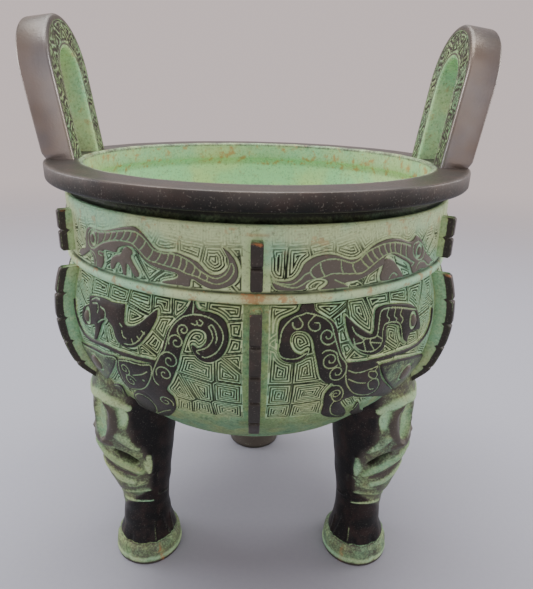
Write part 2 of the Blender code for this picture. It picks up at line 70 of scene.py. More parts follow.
# Bowl, in millimetres
RIM_TOP = MOUNTS["rim_front"][2] / MM
RIM_RADIUS = 75.0
RIM_WIDTH = 12.5
RIM_THICKNESS = 5.5
RIM_ROUNDING = 1.1
RIM_CORNER = 0.55
WALL = 4.0
RECESS_HEIGHT = 4.0
BAND_RADIUS = 69.2
BELLY_RADIUS = 71.5
BELLY_LEVEL = 112.0
BELLY_DEPTH = 56.2
BELLY_SUNK = 0.9
RIDGE_LEVEL = 130.2
RIDGE_HEIGHT = 3.2
RIDGE_PROUD = 1.2
MOUTH_RADIUS = RIM_RADIUS - RIM_WIDTH
NECK_RADIUS = MOUTH_RADIUS + WALL
RIM_UNDERSIDE = RIM_TOP - RIM_THICKNESS
BAND_TOP = RIM_UNDERSIDE - RECESS_HEIGHT
RIDGE_TOP = RIDGE_LEVEL + RIDGE_HEIGHT / 2
RIDGE_BOTTOM = RIDGE_LEVEL - RIDGE_HEIGHT / 2
UPPER_LENGTH = BAND_TOP - RIDGE_TOP
LOWER_LENGTH = 48.0
PANEL_LENGTH = 53.0
SECTOR = math.pi / 3
SECTORS = 6

# Ears, in millimetres and degrees
EAR_HEIGHT = 46.8
EAR_WIDTH = 38.5
EAR_THICKNESS = 10.6
EAR_BAR = 10.0
EAR_TOP_BAR = 11.0
EAR_SHOULDER = 17.7
EAR_LEAN = 8.2
EAR_ROUNDING = 1.3
EAR_BORDER = 1.5
EAR_HOLE_EDGE = 1.25
EAR_SPIRALS = 3.4
EAR_STAGGER = 1.5
EAR_LINE_PITCH = 1.25
EAR_LINE_DEPTH = 0.32
EAR_FOOT_INSET = 0.8
EAR_FOOT_FLARE = 0.8
EAR_ROWS = 200

# Legs, in millimetres and degrees
LEGS = 3
LEG_CIRCLE = MOUNTS["foot_back"][1] / MM
FOOT_RADIUS = 13.6
HOOF_HEIGHT = 8.5
TOE_ANGLES = (32, 72)
TOE_DEPTH = 0.5
ANKLE_RADIUS = 9.1
ANKLE_LEVEL = 23.0
KNEE_RADIUS = 9.8
MASK_BOTTOM = 33.0
SHOULDER_RADIUS = 14.2
MASK_PROUD = 4.0
MASK_RISE = 1.25
MASK_SLOT_DEPTH = 2.6
MASK_TURN = 12.5
LEG_MESH_REAR = (90, 120)
LEG_MESH_FRONT = (180, 236)
HOOF_PROFILE = ((0.0, 0.97), (0.2, 1.0), (0.85, 0.95), (1.0, 0.86), (1.76, 0.71))

# Flanges, in millimetres
FLANGE_THICKNESS = 3.4
UPPER_FLANGE_PROUD = 4.3
LOWER_FLANGE_PROUD = 5.95
FLANGE_END = 84.0
UPPER_FLANGE_DROP = 3.8
NOTCH_WIDTH = 0.9
NOTCH_DEPTH = 1.1
FLANGE_TAPER = 0.35
FLANGE_ROOT = 2.2
FLANGE_ROUNDING = 0.55
FLANGE_SIDE = (FAR, 3.3, 2.6, 1.9, 1.0)

# Friezes, in millimetres
PLAIN_STRIP = 3.5
GROUND_END = 0.84
PANEL_THICKNESS = 1.9
BACK_ROWS = 9
CUT_SOFT = 0.14
BODY_WIDTH = 1.5
RUNG_BOW = -0.35
DRAGON_EYE_RADIUS = 1.0
DRAGON_EYE_HEIGHT = 0.35
BEAST_EYE_HEIGHT = 0.9
SERPENT_EYE_RADIUS = 1.4
UPPER_EDGE_DRAW = 0.5
LOWER_FOOT_DRAW = 1.4

# Each figure is a closed outline of points: thousandths of the sector's width from the dividing
# flange, and thousandths of the band's length from its top. On the sectors to the right of a
# dividing flange the dragon is humped, and on those to its left it is curled.
CURLED_OUTLINES = (
    ((764, 335), (685, 327), (638, 300), (570, 222), (489, 150), (450, 203), (414, 336), (385, 443),
     (343, 461), (303, 448), (259, 493), (215, 565), (189, 678), (163, 734), (131, 709), (108, 616),
     (104, 511), (115, 411), (126, 321), (97, 397), (77, 506), (65, 650), (69, 777), (89, 876),
     (126, 942), (169, 962), (204, 918), (236, 844), (247, 859), (251, 953), (276, 965), (285, 955),
     (338, 960), (366, 954), (364, 922), (307, 848), (302, 781), (335, 759), (383, 741), (426, 678),
     (457, 589), (483, 507), (524, 478), (571, 541), (590, 631), (650, 635), (669, 668), (669, 827),
     (690, 962), (718, 965), (743, 962), (745, 822), (767, 747), (801, 812), (856, 911), (884, 852),
     (862, 771), (808, 700), (802, 542), (786, 414)),
    ((548, 532), (530, 482), (504, 508), (495, 572), (507, 645), (487, 760), (469, 880), (482, 949),
     (502, 903), (518, 803), (532, 772), (537, 940), (548, 965), (558, 922), (567, 798), (586, 790),
     (604, 885), (620, 925), (631, 865), (623, 745), (599, 671), (566, 625)),
)
HUMPED_OUTLINES = (
    ((46, 638), (52, 697), (66, 778), (93, 802), (126, 787), (144, 742), (160, 650), (170, 559),
     (189, 495), (217, 445), (260, 421), (301, 445), (334, 499), (362, 531), (392, 520), (422, 441),
     (455, 360), (497, 302), (549, 283), (602, 322), (650, 393), (679, 381), (699, 317), (738, 398),
     (770, 523), (800, 673), (853, 792), (885, 887), (856, 905), (888, 965), (863, 965), (805, 965),
     (773, 941), (743, 958), (732, 965), (707, 965), (688, 860), (670, 773), (618, 665), (572, 572),
     (543, 549), (520, 596), (517, 687), (492, 732), (468, 778), (433, 839), (399, 877), (365, 884),
     (344, 901), (363, 965), (335, 965), (292, 965), (261, 965), (240, 954), (265, 884), (264, 822),
     (230, 789), (196, 842), (185, 901), (185, 940), (161, 956), (123, 960), (76, 944), (58, 867),
     (50, 750)),
    ((520, 596), (565, 632), (600, 759), (625, 858), (643, 965), (618, 965), (571, 965), (535, 965),
     (510, 943), (503, 859), (512, 744)),
)
LEFT_OUTLINES = (
    ((250, 4), (238, 4), (224, 46), (203, 59), (170, 62), (135, 80), (109, 114), (99, 169), (99, 236),
     (117, 307), (148, 353), (181, 367), (213, 351), (235, 308), (242, 273), (232, 264), (217, 280),
     (199, 266), (184, 231), (187, 189), (209, 171), (237, 176), (258, 210), (271, 265), (283, 330),
     (297, 417), (316, 486), (338, 558), (363, 622), (341, 670), (339, 741), (361, 836), (421, 955),
     (475, 1000), (530, 1030), (535, 985), (495, 936), (471, 807), (485, 742), (527, 721), (589, 755),
     (620, 711), (628, 624), (624, 561), (603, 493), (528, 465), (462, 456), (406, 431), (396, 408),
     (368, 334), (350, 250), (338, 194), (318, 147), (295, 107), (279, 84), (263, 45)),
    ((589, 790), (496, 696), (454, 773), (484, 943), (576, 1030), (668, 1030), (637, 948)),
    ((851, 936), (707, 781), (660, 789), (710, 937), (775, 1026), (802, 996), (832, 960)),
    ((1031, 620), (796, 508), (699, 495), (605, 485), (644, 600), (739, 747), (886, 888), (917, 844),
     (950, 793), (985, 734), (1016, 677)),
    ((782, 138), (683, 111), (618, 114), (561, 103), (544, 107), (542, 186), (536, 226), (501, 223),
     (460, 184), (424, 130), (390, 89), (387, 139), (401, 194), (432, 272), (474, 343), (519, 376),
     (564, 373), (594, 338), (609, 278), (633, 251), (651, 231), (662, 261), (679, 288), (694, 339),
     (724, 412), (751, 425), (732, 348), (736, 316), (804, 356), (843, 336), (843, 270), (825, 227),
     (779, 189)),
)
RIGHT_OUTLINES = (
    ((176, 4), (222, 4), (230, 50), (265, 88), (300, 124), (316, 179), (324, 250), (334, 308),
     (349, 355), (367, 394), (420, 420), (483, 424), (526, 466), (543, 528), (596, 645), (773, 876),
     (713, 889), (584, 788), (505, 743), (436, 696), (395, 700), (380, 731), (447, 879), (442, 952),
     (353, 890), (300, 826), (292, 718), (284, 630), (296, 579), (313, 540), (278, 519), (254, 478),
     (242, 421), (231, 351), (221, 285), (213, 222), (193, 179), (164, 164), (140, 173), (129, 205),
     (131, 243), (146, 283), (170, 301), (189, 285), (200, 280), (191, 317), (167, 346), (133, 355),
     (100, 336), (82, 291), (83, 240), (81, 180), (85, 115), (96, 87), (127, 67), (160, 42)),
    ((531, 473), (599, 477), (689, 496), (895, 589), (974, 714), (931, 786), (895, 844), (863, 890),
     (761, 858), (607, 651), (552, 543)),
    ((348, 94), (367, 116), (410, 178), (464, 236), (478, 220), (482, 159), (492, 99), (516, 80),
     (580, 83), (659, 105), (713, 133), (750, 190), (774, 287), (765, 328), (702, 317), (682, 351),
     (679, 387), (642, 341), (625, 282), (617, 238), (560, 209), (545, 235), (543, 308), (530, 363),
     (485, 382), (433, 358), (388, 298), (364, 236), (351, 163)),
    ((475, 833), (488, 781), (554, 931), (626, 1030), (500, 961)),
)

# Middle lines of the narrow bodies over the beast faces' eyes.
LEFT_BODY = (
    (405, 421), (494, 431), (596, 436), (686, 434), (807, 452), (884, 420), (930, 340), (945, 250),
)
RIGHT_BODY = (
    (358, 405), (420, 420), (484, 426), (575, 429), (675, 439), (781, 440), (857, 400), (888, 330),
    (900, 250),
)

# Lines cut into the figures, in the same thousandths. The first two of each dragon are joined by rungs.
CURLED_LINES = (
    ((738, 379), (639, 334), (572, 274), (504, 231), (464, 242), (427, 338), (397, 453), (355, 485),
     (314, 478), (281, 505), (243, 575), (216, 670), (189, 735), (152, 788), (121, 738), (104, 657),
     (95, 551)),
    ((729, 658), (664, 517), (600, 435), (537, 404), (495, 417), (462, 506), (425, 617), (382, 647),
     (334, 677), (294, 701), (261, 751), (222, 783), (190, 831), (147, 872), (110, 816), (89, 721),
     (82, 632), (89, 550)),
    ((724, 342), (694, 371), (691, 469), (708, 595), (746, 664), (770, 609), (770, 471), (749, 376),
     (724, 342)),
    ((766, 723), (733, 742), (721, 849), (731, 951)),
    ((677, 742), (700, 715), (689, 671), (670, 679)),
)
HUMPED_LINES = (
    ((51, 750), (75, 826), (127, 849), (155, 796), (177, 709), (196, 672), (202, 617), (233, 534),
     (272, 497), (313, 518), (363, 583), (396, 545), (422, 464), (456, 403), (505, 358), (559, 356),
     (622, 410), (666, 468)),
    ((56, 806), (94, 865), (142, 903), (170, 860), (193, 807), (227, 787), (261, 749), (286, 718),
     (329, 733), (373, 751), (413, 756), (447, 688), (487, 592), (525, 533), (574, 531), (624, 612),
     (671, 705)),
    ((720, 431), (764, 540), (780, 657), (767, 749), (741, 753), (704, 673), (686, 568), (691, 459),
     (720, 431)),
    ((671, 712), (704, 778), (691, 824)),
    ((729, 893), (744, 809), (783, 809), (829, 913), (875, 944)),
    ((296, 817), (332, 886), (372, 943)),
    ((554, 928), (563, 872), (580, 854), (598, 907)),
)
LEFT_LINES = (
    ((241, 10), (239, 45), (238, 82)),
    ((276, 105), (235, 86), (190, 89), (152, 111), (123, 165), (121, 230), (143, 293), (179, 329),
     (197, 328)),
    ((276, 105), (306, 145), (327, 200), (338, 264), (351, 329), (370, 364), (398, 451), (413, 512),
     (410, 564), (396, 591)),
    ((175, 146), (162, 176), (158, 217), (173, 258), (191, 279), (219, 298), (208, 314)),
    ((175, 146), (163, 135), (149, 166), (142, 211), (146, 237)),
    ((241, 137), (227, 144), (218, 135), (222, 120)),
    ((211, 112), (198, 125), (205, 146), (216, 142)),
    ((532, 1020), (441, 895), (386, 837)),
    ((598, 501), (545, 479), (470, 470), (419, 454), (419, 512), (444, 592), (481, 662), (531, 707),
     (591, 734), (602, 685), (607, 599), (598, 501)),
    ((524, 576), (473, 543), (440, 506)),
    ((582, 807), (537, 755), (484, 767), (472, 857), (503, 961), (549, 1018), (578, 953), (598, 891),
     (582, 807)),
    ((843, 946), (726, 817), (680, 823), (784, 1017)),
    ((1031, 627), (806, 535), (706, 518), (613, 498), (660, 620), (784, 797), (888, 886)),
    ((759, 156), (726, 131), (700, 131)),
    ((746, 173), (711, 163), (701, 194), (706, 220)),
    ((687, 172), (660, 182), (652, 211), (658, 236)),
    ((701, 281), (676, 254), (657, 243)),
    ((543, 354), (502, 342), (466, 302), (437, 239)),
    ((501, 304), (493, 333)),
    ((472, 275), (461, 296)),
    ((451, 236), (437, 249)),
    ((552, 271), (545, 305), (530, 313)),
    ((564, 230), (552, 245)),
)
RIGHT_LINES = (
    ((190, 59), (175, 68), (141, 83), (112, 118), (96, 159), (89, 218), (85, 278), (99, 314), (133, 326),
     (161, 321), (190, 297)),
    ((190, 59), (225, 74), (265, 102), (289, 144), (299, 206), (312, 271), (329, 339), (356, 398),
     (358, 452), (349, 486)),
    ((161, 85), (174, 114), (169, 142), (150, 148), (138, 132), (136, 110)),
    ((225, 76), (209, 96), (196, 123), (203, 153), (223, 167), (241, 155), (239, 125), (221, 119)),
    ((370, 449), (409, 479), (459, 482), (519, 473)),
    ((377, 515), (428, 564), (471, 586)),
    ((359, 416), (362, 491), (380, 567), (427, 655), (495, 711), (547, 711), (563, 659), (538, 588),
     (509, 573), (488, 594), (509, 657), (535, 672)),
    ((519, 477), (509, 503), (526, 540), (516, 571), (480, 533), (477, 497), (506, 506)),
    ((528, 481), (578, 610), (764, 865)),
    ((314, 548), (344, 559), (370, 628), (366, 692), (338, 688), (315, 629), (322, 607)),
    ((338, 688), (330, 748), (355, 839), (413, 909), (467, 917), (484, 859), (485, 797)),
    ((376, 171), (392, 213), (440, 257), (490, 258), (503, 181), (514, 121), (543, 103), (616, 119),
     (733, 174)),
    ((381, 240), (394, 300), (431, 336), (482, 350), (519, 308), (523, 227), (546, 194), (619, 221),
     (645, 334), (678, 380)),
    ((392, 216), (428, 269), (382, 280)),
    ((440, 257), (428, 273), (440, 335)),
    ((465, 264), (459, 287), (482, 345)),
    ((459, 287), (512, 309)),
    ((494, 257), (518, 282)),
    ((559, 111), (547, 147), (560, 175), (551, 196)),
    ((600, 117), (588, 161), (602, 186), (592, 209)),
    ((639, 130), (624, 165), (640, 200), (629, 224)),
    ((679, 387), (693, 325), (753, 322)),
    ((252, 306), (264, 292), (285, 293), (309, 314), (319, 362), (333, 409)),
)

# Rungs between a dragon's first two lines, as places along each, counted in points.
CURLED_RUNGS = tuple((place, place) for place in (
    1, 1.6, 2.1, 2.7, 3.3, 4.1, 5, 6, 6.8, 7.6, 8.2, 9, 9.6, 10.5, 11.2, 12.1))
HUMPED_RUNGS = (
    (5.0, 4.9), (7.0, 5.85), (9.1, 8.0), (10.1, 9.3), (11.2, 10.9), (12.1, 11.5), (12.8, 12.0),
    (13.5, 12.6), (14.05, 13.2), (14.6, 13.6), (15.1, 14.1), (15.7, 14.7), (16.3, 15.5),
)

# Scrolls cut into the beast faces: middle, radius in millimetres, start in degrees, hand.
LEFT_SCROLLS = (
    (272, 182, 1.9, 60, -1), (299, 261, 2.5, 20, -1), (329, 387, 2.9, 330, -1), (358, 490, 2.9, 20, -1),
    (388, 740, 2.7, 150, 1), (567, 550, 2.3, 90, 1), (549, 638, 2.6, 200, 1), (470, 590, 0.3, 0, 1),
)
RIGHT_SCROLLS = (
    (272, 203, 2.7, 40, 1), (288, 357, 2.9, 40, 1), (320, 449, 2.9, 40, 1), (335, 625, 2.0, 180, 1),
)

# Middles of the eyes, on the left and on the right of a dividing flange.
DRAGON_EYES = ((731, 498), (731, 599))
BEAST_EYES = ((790, 630), (745, 650))
SERPENT_EYES = ((785, 276), (709, 236))

# Middles of the spirals that fill the ground between the figures.
UPPER_MIDDLES = (
    (70, 160), (70, 450), (150, 160), (150, 470), (240, 140), (250, 360), (330, 120), (340, 330),
    (420, 120), (500, 60), (580, 100), (660, 140), (760, 120), (860, 140), (860, 420), (920, 300),
    (910, 620), (420, 840), (460, 930), (660, 740), (640, 900), (210, 930), (930, 850), (400, 950),
    (570, 930),
)
LEFT_MIDDLES = (
    (481, 82), (359, 63), (490, 160), (413, 330), (345, 172), (76, 62), (66, 156), (71, 262), (215, 225),
    (200, 430), (104, 430), (220, 590), (112, 590), (235, 775), (120, 765), (640, 365), (860, 100),
    (910, 250), (860, 380), (720, 60), (600, 60), (430, 385), (300, 50), (60, 345), (690, 380),
    (520, 405), (295, 640), (305, 760),
)
RIGHT_MIDDLES = (
    (74, 40), (290, 56), (421, 110), (356, 330), (590, 293), (543, 400), (167, 230), (95, 426),
    (195, 427), (96, 597), (200, 597), (100, 780), (210, 780), (840, 160), (700, 405), (390, 375),
    (520, 50), (640, 55), (760, 80), (850, 300), (320, 130), (345, 200),
)

# Carving on a leg's mask as strokes: each point gives the angle from the leg's outward line in
# degrees, the level in millimetres and the width in millimetres. Then come how far the stroke
# stands out, how green it is and how pale. Each stands on both sides.
MASK_STROKES = (
    (((0, 79.5, 3.6), (18, 80.5, 3.8), (38, 79.5, 3.6), (57, 77.0, 3.0)), 0.6, 0.95, 0.8),
    (((14, 76.5, 2.6), (15, 73.0, 4.4), (14, 68.0, 4.8), (17, 63.5, 3.2)), -1.3, 1.0, 0.3),
    (((46, 76.0, 2.0), (50, 73.0, 3.2), (49, 69.5, 2.4)), -1.2, 1.0, 1.0),
    (((28, 78.0, 1.6), (36, 75.0, 1.9), (37, 70.5, 2.2), (33, 66.0, 2.4), (20, 61.5, 2.0)),
     0.9, 0.1, 0.0),
    (((44, 65.0, 3.0), (54, 62.0, 3.0), (66, 58.6, 1.6)), 0.8, 0.72, 0.4),
    (((0, 60.5, 2.4), (14, 60.0, 2.4), (30, 60.6, 1.8)), 0.5, 0.1, 0.0),
    (((68, 46.5, 2.0), (50, 50.3, 3.2), (30, 53.3, 3.5), (12, 55.3, 3.3), (2, 57.5, 3.0)),
     0.7, 1.0, 0.35),
    (((56, 45.2, 0.8), (34, 47.9, 1.1), (16, 50.5, 1.1), (0, 52.2, 1.0)), -0.6, 0.0, 0.0),
    (((52, 41.6, 2.6), (33, 43.2, 3.6), (16, 46.2, 3.4), (0, 48.2, 3.0)), 0.4, 0.95, 0.6),
    (((81, 54.0, 2.4), (80, 49.5, 3.4), (82, 45.8, 2.2)), 0.9, 0.8, 0.7),
    (((57, 39.4, 0.8), (74, 41.8, 0.8), (91, 43.9, 0.7)), 0.4, 0.7, 0.3),
    (((97, 43.5, 0.8), (98, 40.5, 0.8)), 0.3, 0.7, 0.4),
    (((44, 39.2, 1.2), (62, 39.6, 1.3), (77, 40.2, 1.0)), 0.35, 0.7, 0.3),
    (((28, 34.9, 1.2), (60, 36.0, 1.4), (84, 35.2, 1.1)), 0.4, 0.8, 0.3),
    (((16, 29.2, 1.3), (55, 30.0, 1.6), (88, 29.2, 1.2)), 0.45, 0.95, 0.5),
    (((100, 31.6, 0.7), (120, 30.6, 0.8), (140, 29.6, 0.6)), 0.3, 0.7, 0.2),
    (((88, 18.0, 0.8), (86, 12.5, 1.1), (85, 5.5, 1.0)), 0.5, 0.75, 0.5),
    (((108, 19.5, 0.7), (116, 13.0, 0.9), (122, 6.0, 0.9)), 0.5, 0.7, 0.4),
    (((139, 16.0, 0.7), (133, 10.5, 0.9), (128, 4.0, 0.9)), 0.5, 0.7, 0.4),
)

# The mouth's slot, a stroke sunk into the mask.
MASK_SLOT = ((36, 57.6, 1.8), (47, 55.6, 3.0), (61, 52.3, 2.0))

# What belongs to the figures on the left and on the right of a dividing flange. The last number of
# a beast face is the place, in its outlines, of the plate round the eye.
DRAGONS = (
    (CURLED_OUTLINES, CURLED_LINES, CURLED_RUNGS), (HUMPED_OUTLINES, HUMPED_LINES, HUMPED_RUNGS))
BEASTS = (
    (LEFT_OUTLINES, LEFT_LINES, LEFT_BODY, LEFT_SCROLLS, LEFT_MIDDLES, 3),
    (RIGHT_OUTLINES, RIGHT_LINES, RIGHT_BODY, RIGHT_SCROLLS, RIGHT_MIDDLES, 1),
)

# What a band's figures give at each point: distance to the figures, 1 on a cut line, the spiral
# ground's phase, distance to a line between two spirals, distance in from the ground's edge,
# distance to an eye, and 1 on the plate round the eye.
Fields = namedtuple("Fields", "figure cuts phase divide edge ball panel")


def smooth(low, high, value):
    """Smoothstep: 0 at the low edge, 1 at the high edge, and 3t^2 - 2t^3 between them."""
    share = np.clip((value - low) / (high - low), 0.0, 1.0)
    return share * share * (3 - 2 * share)


def curve_through(points, pieces, closed=False):
    """Catmull-Rom curve through rows of numbers, each span cut in a number of pieces."""
    spots = np.array(points, float)
    if closed:
        around = np.vstack([spots[-1], spots, spots[:2]])
    else:
        around = np.vstack([2 * spots[0] - spots[1], spots, 2 * spots[-1] - spots[-2]])
    spans = len(around) - 3
    a, b, c, d = (around[i : i + spans, None, :] for i in range(4))
    t = (np.arange(pieces) / pieces)[None, :, None]
    bend = (2 * a - 5 * b + 4 * c - d) * t**2 + (3 * b - a - 3 * c + d) * t**3
    made = 0.5 * (2 * b + (c - a) * t + bend)
    return np.vstack([made.reshape(-1, spots.shape[1]), around[-2]])


def stroke_field(x, y, path, reach):
    """Distance from points of a flat field to a stroke, a polyline with a width at each corner.

    It is the distance to the nearest point of the line less half the width there, so it is
    negative inside. Points beyond the stroke's box, widened by a reach, are taken as far away.
    """
    gap = np.full(x.shape, FAR)
    low = path[:, :2].min(axis=0) - reach
    high = path[:, :2].max(axis=0) + reach
    near = (x > low[0]) & (x < high[0]) & (y > low[1]) & (y < high[1])
    px, py = x[near], y[near]
    best = np.full(px.shape, FAR)
    for start, end in zip(path[:-1], path[1:]):
        step = end[:2] - start[:2]
        length = float(np.hypot(*step)) + 1e-9
        share = ((px - start[0]) * step[0] + (py - start[1]) * step[1]) / length**2
        share = np.clip(share, 0.0, 1.0)
        width = start[2] + share * (end[2] - start[2])
        away = np.hypot(px - start[0] - share * step[0], py - start[1] - share * step[1])
        best = np.minimum(best, away - width / 2)
    gap[near] = best
    return gap


def line_cut(x, y, points, width, pieces=5):
    """1 on a cut line through points and 0 off it, with soft edges."""
    path = curve_through(points, pieces)
    path = np.column_stack([path, np.full(len(path), width)])
    gap = stroke_field(x, y, path, width * 2)
    return 1 - smooth(-CUT_SOFT, CUT_SOFT, gap)


def lower_profile(step):
    """The outer wall from the ridge's foot to below the beast faces.

    Gives radius, level, outward direction (radius, level), distance down the band and 1 on the ridge.
    """
    fine = np.linspace(RIDGE_BOTTOM, BELLY_LEVEL - 0.9 * BELLY_DEPTH, 2000)
    radii = belly_radius(fine)
    lengths = np.concatenate([[0.0], np.cumsum(np.hypot(np.diff(fine), np.diff(radii)))])
    down = spaced((LOWER_LENGTH, step), (PANEL_LENGTH, step * 3))
    level = np.interp(down, lengths, fine)
    radius = belly_radius(level)
    out_radius = radius / BELLY_RADIUS**2
    out_level = (level - BELLY_LEVEL) / BELLY_DEPTH**2
    norm = np.hypot(out_radius, out_level)
    return np.column_stack([radius, level, out_radius / norm, out_level / norm, down, down * 0])


def upper_profile(step):
    """The outer wall from the band's top to the ridge's foot, with the columns of lower_profile."""
    down = spaced((UPPER_LENGTH, step))
    one = np.ones(len(down))
    band = np.column_stack([one * BAND_RADIUS, BAND_TOP - down, one, one * 0, down, one * 0])
    share = spaced((1.0, step / RIDGE_HEIGHT / 1.4))[1:]
    bulge = np.sin(math.pi * share) ** 0.55
    slope = np.cos(math.pi * share)
    norm = np.hypot(1.0, slope)
    down = UPPER_LENGTH + RIDGE_HEIGHT * share
    ridge = np.column_stack([
        BAND_RADIUS + RIDGE_PROUD * bulge, BAND_TOP - down, 1 / norm, slope / norm, down, 0 * share + 1])
    return np.vstack([band, ridge])


def spaced(*stretches):
    """Places along a line made of stretches, each (end, step)."""
    places = [np.zeros(1)]
    for end, step in stretches:
        start = places[-1][-1]
        count = max(1, round((end - start) / step))
        places.append(np.linspace(start, end, count + 1)[1:])
    return np.concatenate(places)


def point_on(points, place):
    """The point at a place along a line of points, counted in points."""
    counted = np.arange(len(points))
    return [np.interp(place, counted, column) for column in np.array(points).T]


def outline_field(x, y, outline, reach=6.0):
    """Distance to a closed outline, negative inside it.

    A point is inside where a level ray from it crosses the outline an odd number of times.
    """
    path = curve_through(outline, 3, closed=True)
    path = np.column_stack([path, np.zeros(len(path))])
    gap = stroke_field(x, y, path, reach)
    near = gap < FAR
    px, py = x[near], y[near]
    inside = np.zeros(px.shape, bool)
    for (x0, y0, _), (x1, y1, _) in zip(path[:-1], path[1:]):
        crossed = (y0 > py) != (y1 > py)
        inside ^= crossed & (px < x0 + (x1 - x0) * (py - y0) / (y1 - y0 + 1e-12))
    gap[near] = np.where(inside, -gap[near], gap[near])
    return gap


def line_wave(phase):
    """1 where a phase in turns passes three quarters, 0 where it passes a quarter, even between."""
    return np.abs((phase + 0.25) % 1 - 0.5) * 2


def scroll_points(centre, radius, start, hand, turns=1.35, steps=26):
    """A spiral: its radius falls evenly to 0.18 of itself while its angle turns on from a start."""
    t = np.linspace(0.0, 1.0, steps)
    angle = math.radians(start) + hand * 2 * math.pi * turns * t
    reach = radius * (1 - 0.82 * t)
    return np.column_stack([centre[0] + reach * np.cos(angle), centre[1] + reach * np.sin(angle)])


def spiral_ground(x, y, border, middles, pitch, hand):
    """Phase of the spiral lines that fill the ground, in turns.

    The ground is shared out between the middles, each point going to the nearest. The phase is the
    distance to the nearest border or dividing line over the pitch, plus the angle round the middle
    as a share of a turn, which makes a spiral of what would be nested outlines.
    """
    first = np.full(x.shape, FAR * FAR)
    second = np.full(x.shape, FAR * FAR)
    cx, cy, sx, sy = (np.zeros(x.shape) for _ in range(4))
    for mx, my in middles:
        squared = (x - mx) ** 2 + (y - my) ** 2
        nearest = squared < first
        later = ~nearest & (squared < second)
        second = np.where(nearest, first, np.where(later, squared, second))
        sx = np.where(nearest, cx, np.where(later, mx, sx))
        sy = np.where(nearest, cy, np.where(later, my, sy))
        first = np.where(nearest, squared, first)
        cx = np.where(nearest, mx, cx)
        cy = np.where(nearest, my, cy)
    divide = (second - first) / (2 * np.hypot(cx - sx, cy - sy) + 1e-6)
    turn = hand * np.arctan2(y - cy, x - cx) / (2 * math.pi)
    return np.minimum(border, divide) / pitch + turn * smooth(0.0, pitch, border), divide


def ripple(points, length, seed):
    """A gentle unevenness between -1 and 1: the mean of sines along fixed random directions."""
    draw = np.random.default_rng(seed)
    total = np.zeros(points.shape[:-1])
    for _ in range(7):
        way = draw.normal(size=3)
        way *= 2 * math.pi / (length * draw.uniform(0.6, 1.6) * np.linalg.norm(way))
        total += np.sin(points @ way + draw.uniform(0, 2 * math.pi))
    return total / 3.5


def belly_radius(level):
    """Radius of the belly's ellipse at a level."""
    share = (BELLY_LEVEL - level) / BELLY_DEPTH
    return BELLY_RADIUS * np.sqrt(np.maximum(0.0, 1 - share * share))


def belly_level(radius):
    """Level of the belly's underside at a distance from the axis."""
    share = np.minimum(1.0, radius / BELLY_RADIUS)
    return BELLY_LEVEL - BELLY_DEPTH * np.sqrt(1 - share * share)


def outer_radius(level):
    """Radius of the outside wall at a level, without the ridge."""
    return np.where(level > RIDGE_LEVEL, BAND_RADIUS, belly_radius(level))


def round_axis(radius, azimuth, level):
    """Points at radii, azimuths from the front and levels."""
    parts = np.broadcast_arrays(radius * np.sin(azimuth), -radius * np.cos(azimuth), level)
    return np.stack(parts, axis=-1)


def facing(azimuth, along, across, level):
    """Points set out from the axis along one azimuth, then across to its right, at levels."""
    east = along * math.sin(azimuth) + across * math.cos(azimuth)
    north = -along * math.cos(azimuth) + across * math.sin(azimuth)
    return np.stack(np.broadcast_arrays(east, north, level), axis=-1)


def grid_quads(rows, columns, close_rows=False, close_columns=False, flip=False):
    """Corner numbers of the quads of a grid of points, row after row."""
    row = np.arange(rows if close_rows else rows - 1)[:, None]
    column = np.arange(columns if close_columns else columns - 1)[None, :]
    below = (row + 1) % rows
    beside = (column + 1) % columns
    corners = (row * columns + column, row * columns + beside, below * columns + beside)
    quads = np.stack([*corners, below * columns + column], axis=-1).reshape(-1, 4)
    return quads[:, ::-1] if flip else quads


def fan(ring, centre, flip=False):
    """Triangles from a ring of points to a centre."""
    made = np.column_stack([ring, np.roll(ring, -1), np.full(len(ring), centre)])
    return made[:, ::-1] if flip else made


def tube_faces(rows, count, start=0, flip=False):
    """Faces of a tube of rings with a number of points each, closed by a flat face at both ends."""
    first = np.arange(start, start + count)[None, ::-1 if flip else 1]
    last = first[:, ::-1] + (rows - 1) * count
    return [grid_quads(rows, count, close_columns=True, flip=flip) + start, first, last]


def new_piece(name, points, faces, finish, material):
    """An object from points in millimetres, arrays of faces and named values at the points."""
    mesh = bpy.data.meshes.new(name)
    sizes = np.concatenate([np.full(len(group), group.shape[1]) for group in faces])
    corners = np.concatenate([group.ravel() for group in faces]).astype(np.int32)
    starts = np.concatenate([[0], np.cumsum(sizes)[:-1]]).astype(np.int32)
    mesh.vertices.add(len(points))
    mesh.vertices.foreach_set("co", (points * MM).astype(np.float32).ravel())
    mesh.loops.add(len(corners))
    mesh.loops.foreach_set("vertex_index", corners)
    mesh.polygons.add(len(sizes))
    mesh.polygons.foreach_set("loop_start", starts)
    mesh.update(calc_edges=True)
    mesh.validate()
    for key, values in finish.items():
        layer = mesh.attributes.new(key, "FLOAT", "POINT")
        layer.data.foreach_set("value", np.ascontiguousarray(values, np.float32).ravel())
    mesh.shade_smooth()
    mesh.materials.append(material)
    piece = bpy.data.objects.new(name, mesh)
    bpy.context.scene.collection.objects.link(piece)
    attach(piece, "root")
    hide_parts(NODE)
    return piece


def finish_values(size, patina=0.0, groove_and_shade=0.0, crest=0.0, rust=0.0, polish=0.0, tone=0.0):
    """The values that the bronze reads at each point, as full arrays."""
    given = {"patina": patina, "groove_and_shade": groove_and_shade, "crest": crest}
    given |= {"rust": rust, "polish": polish, "tone": tone}
    return {key: np.broadcast_to(value, size).astype(float) for key, value in given.items()}


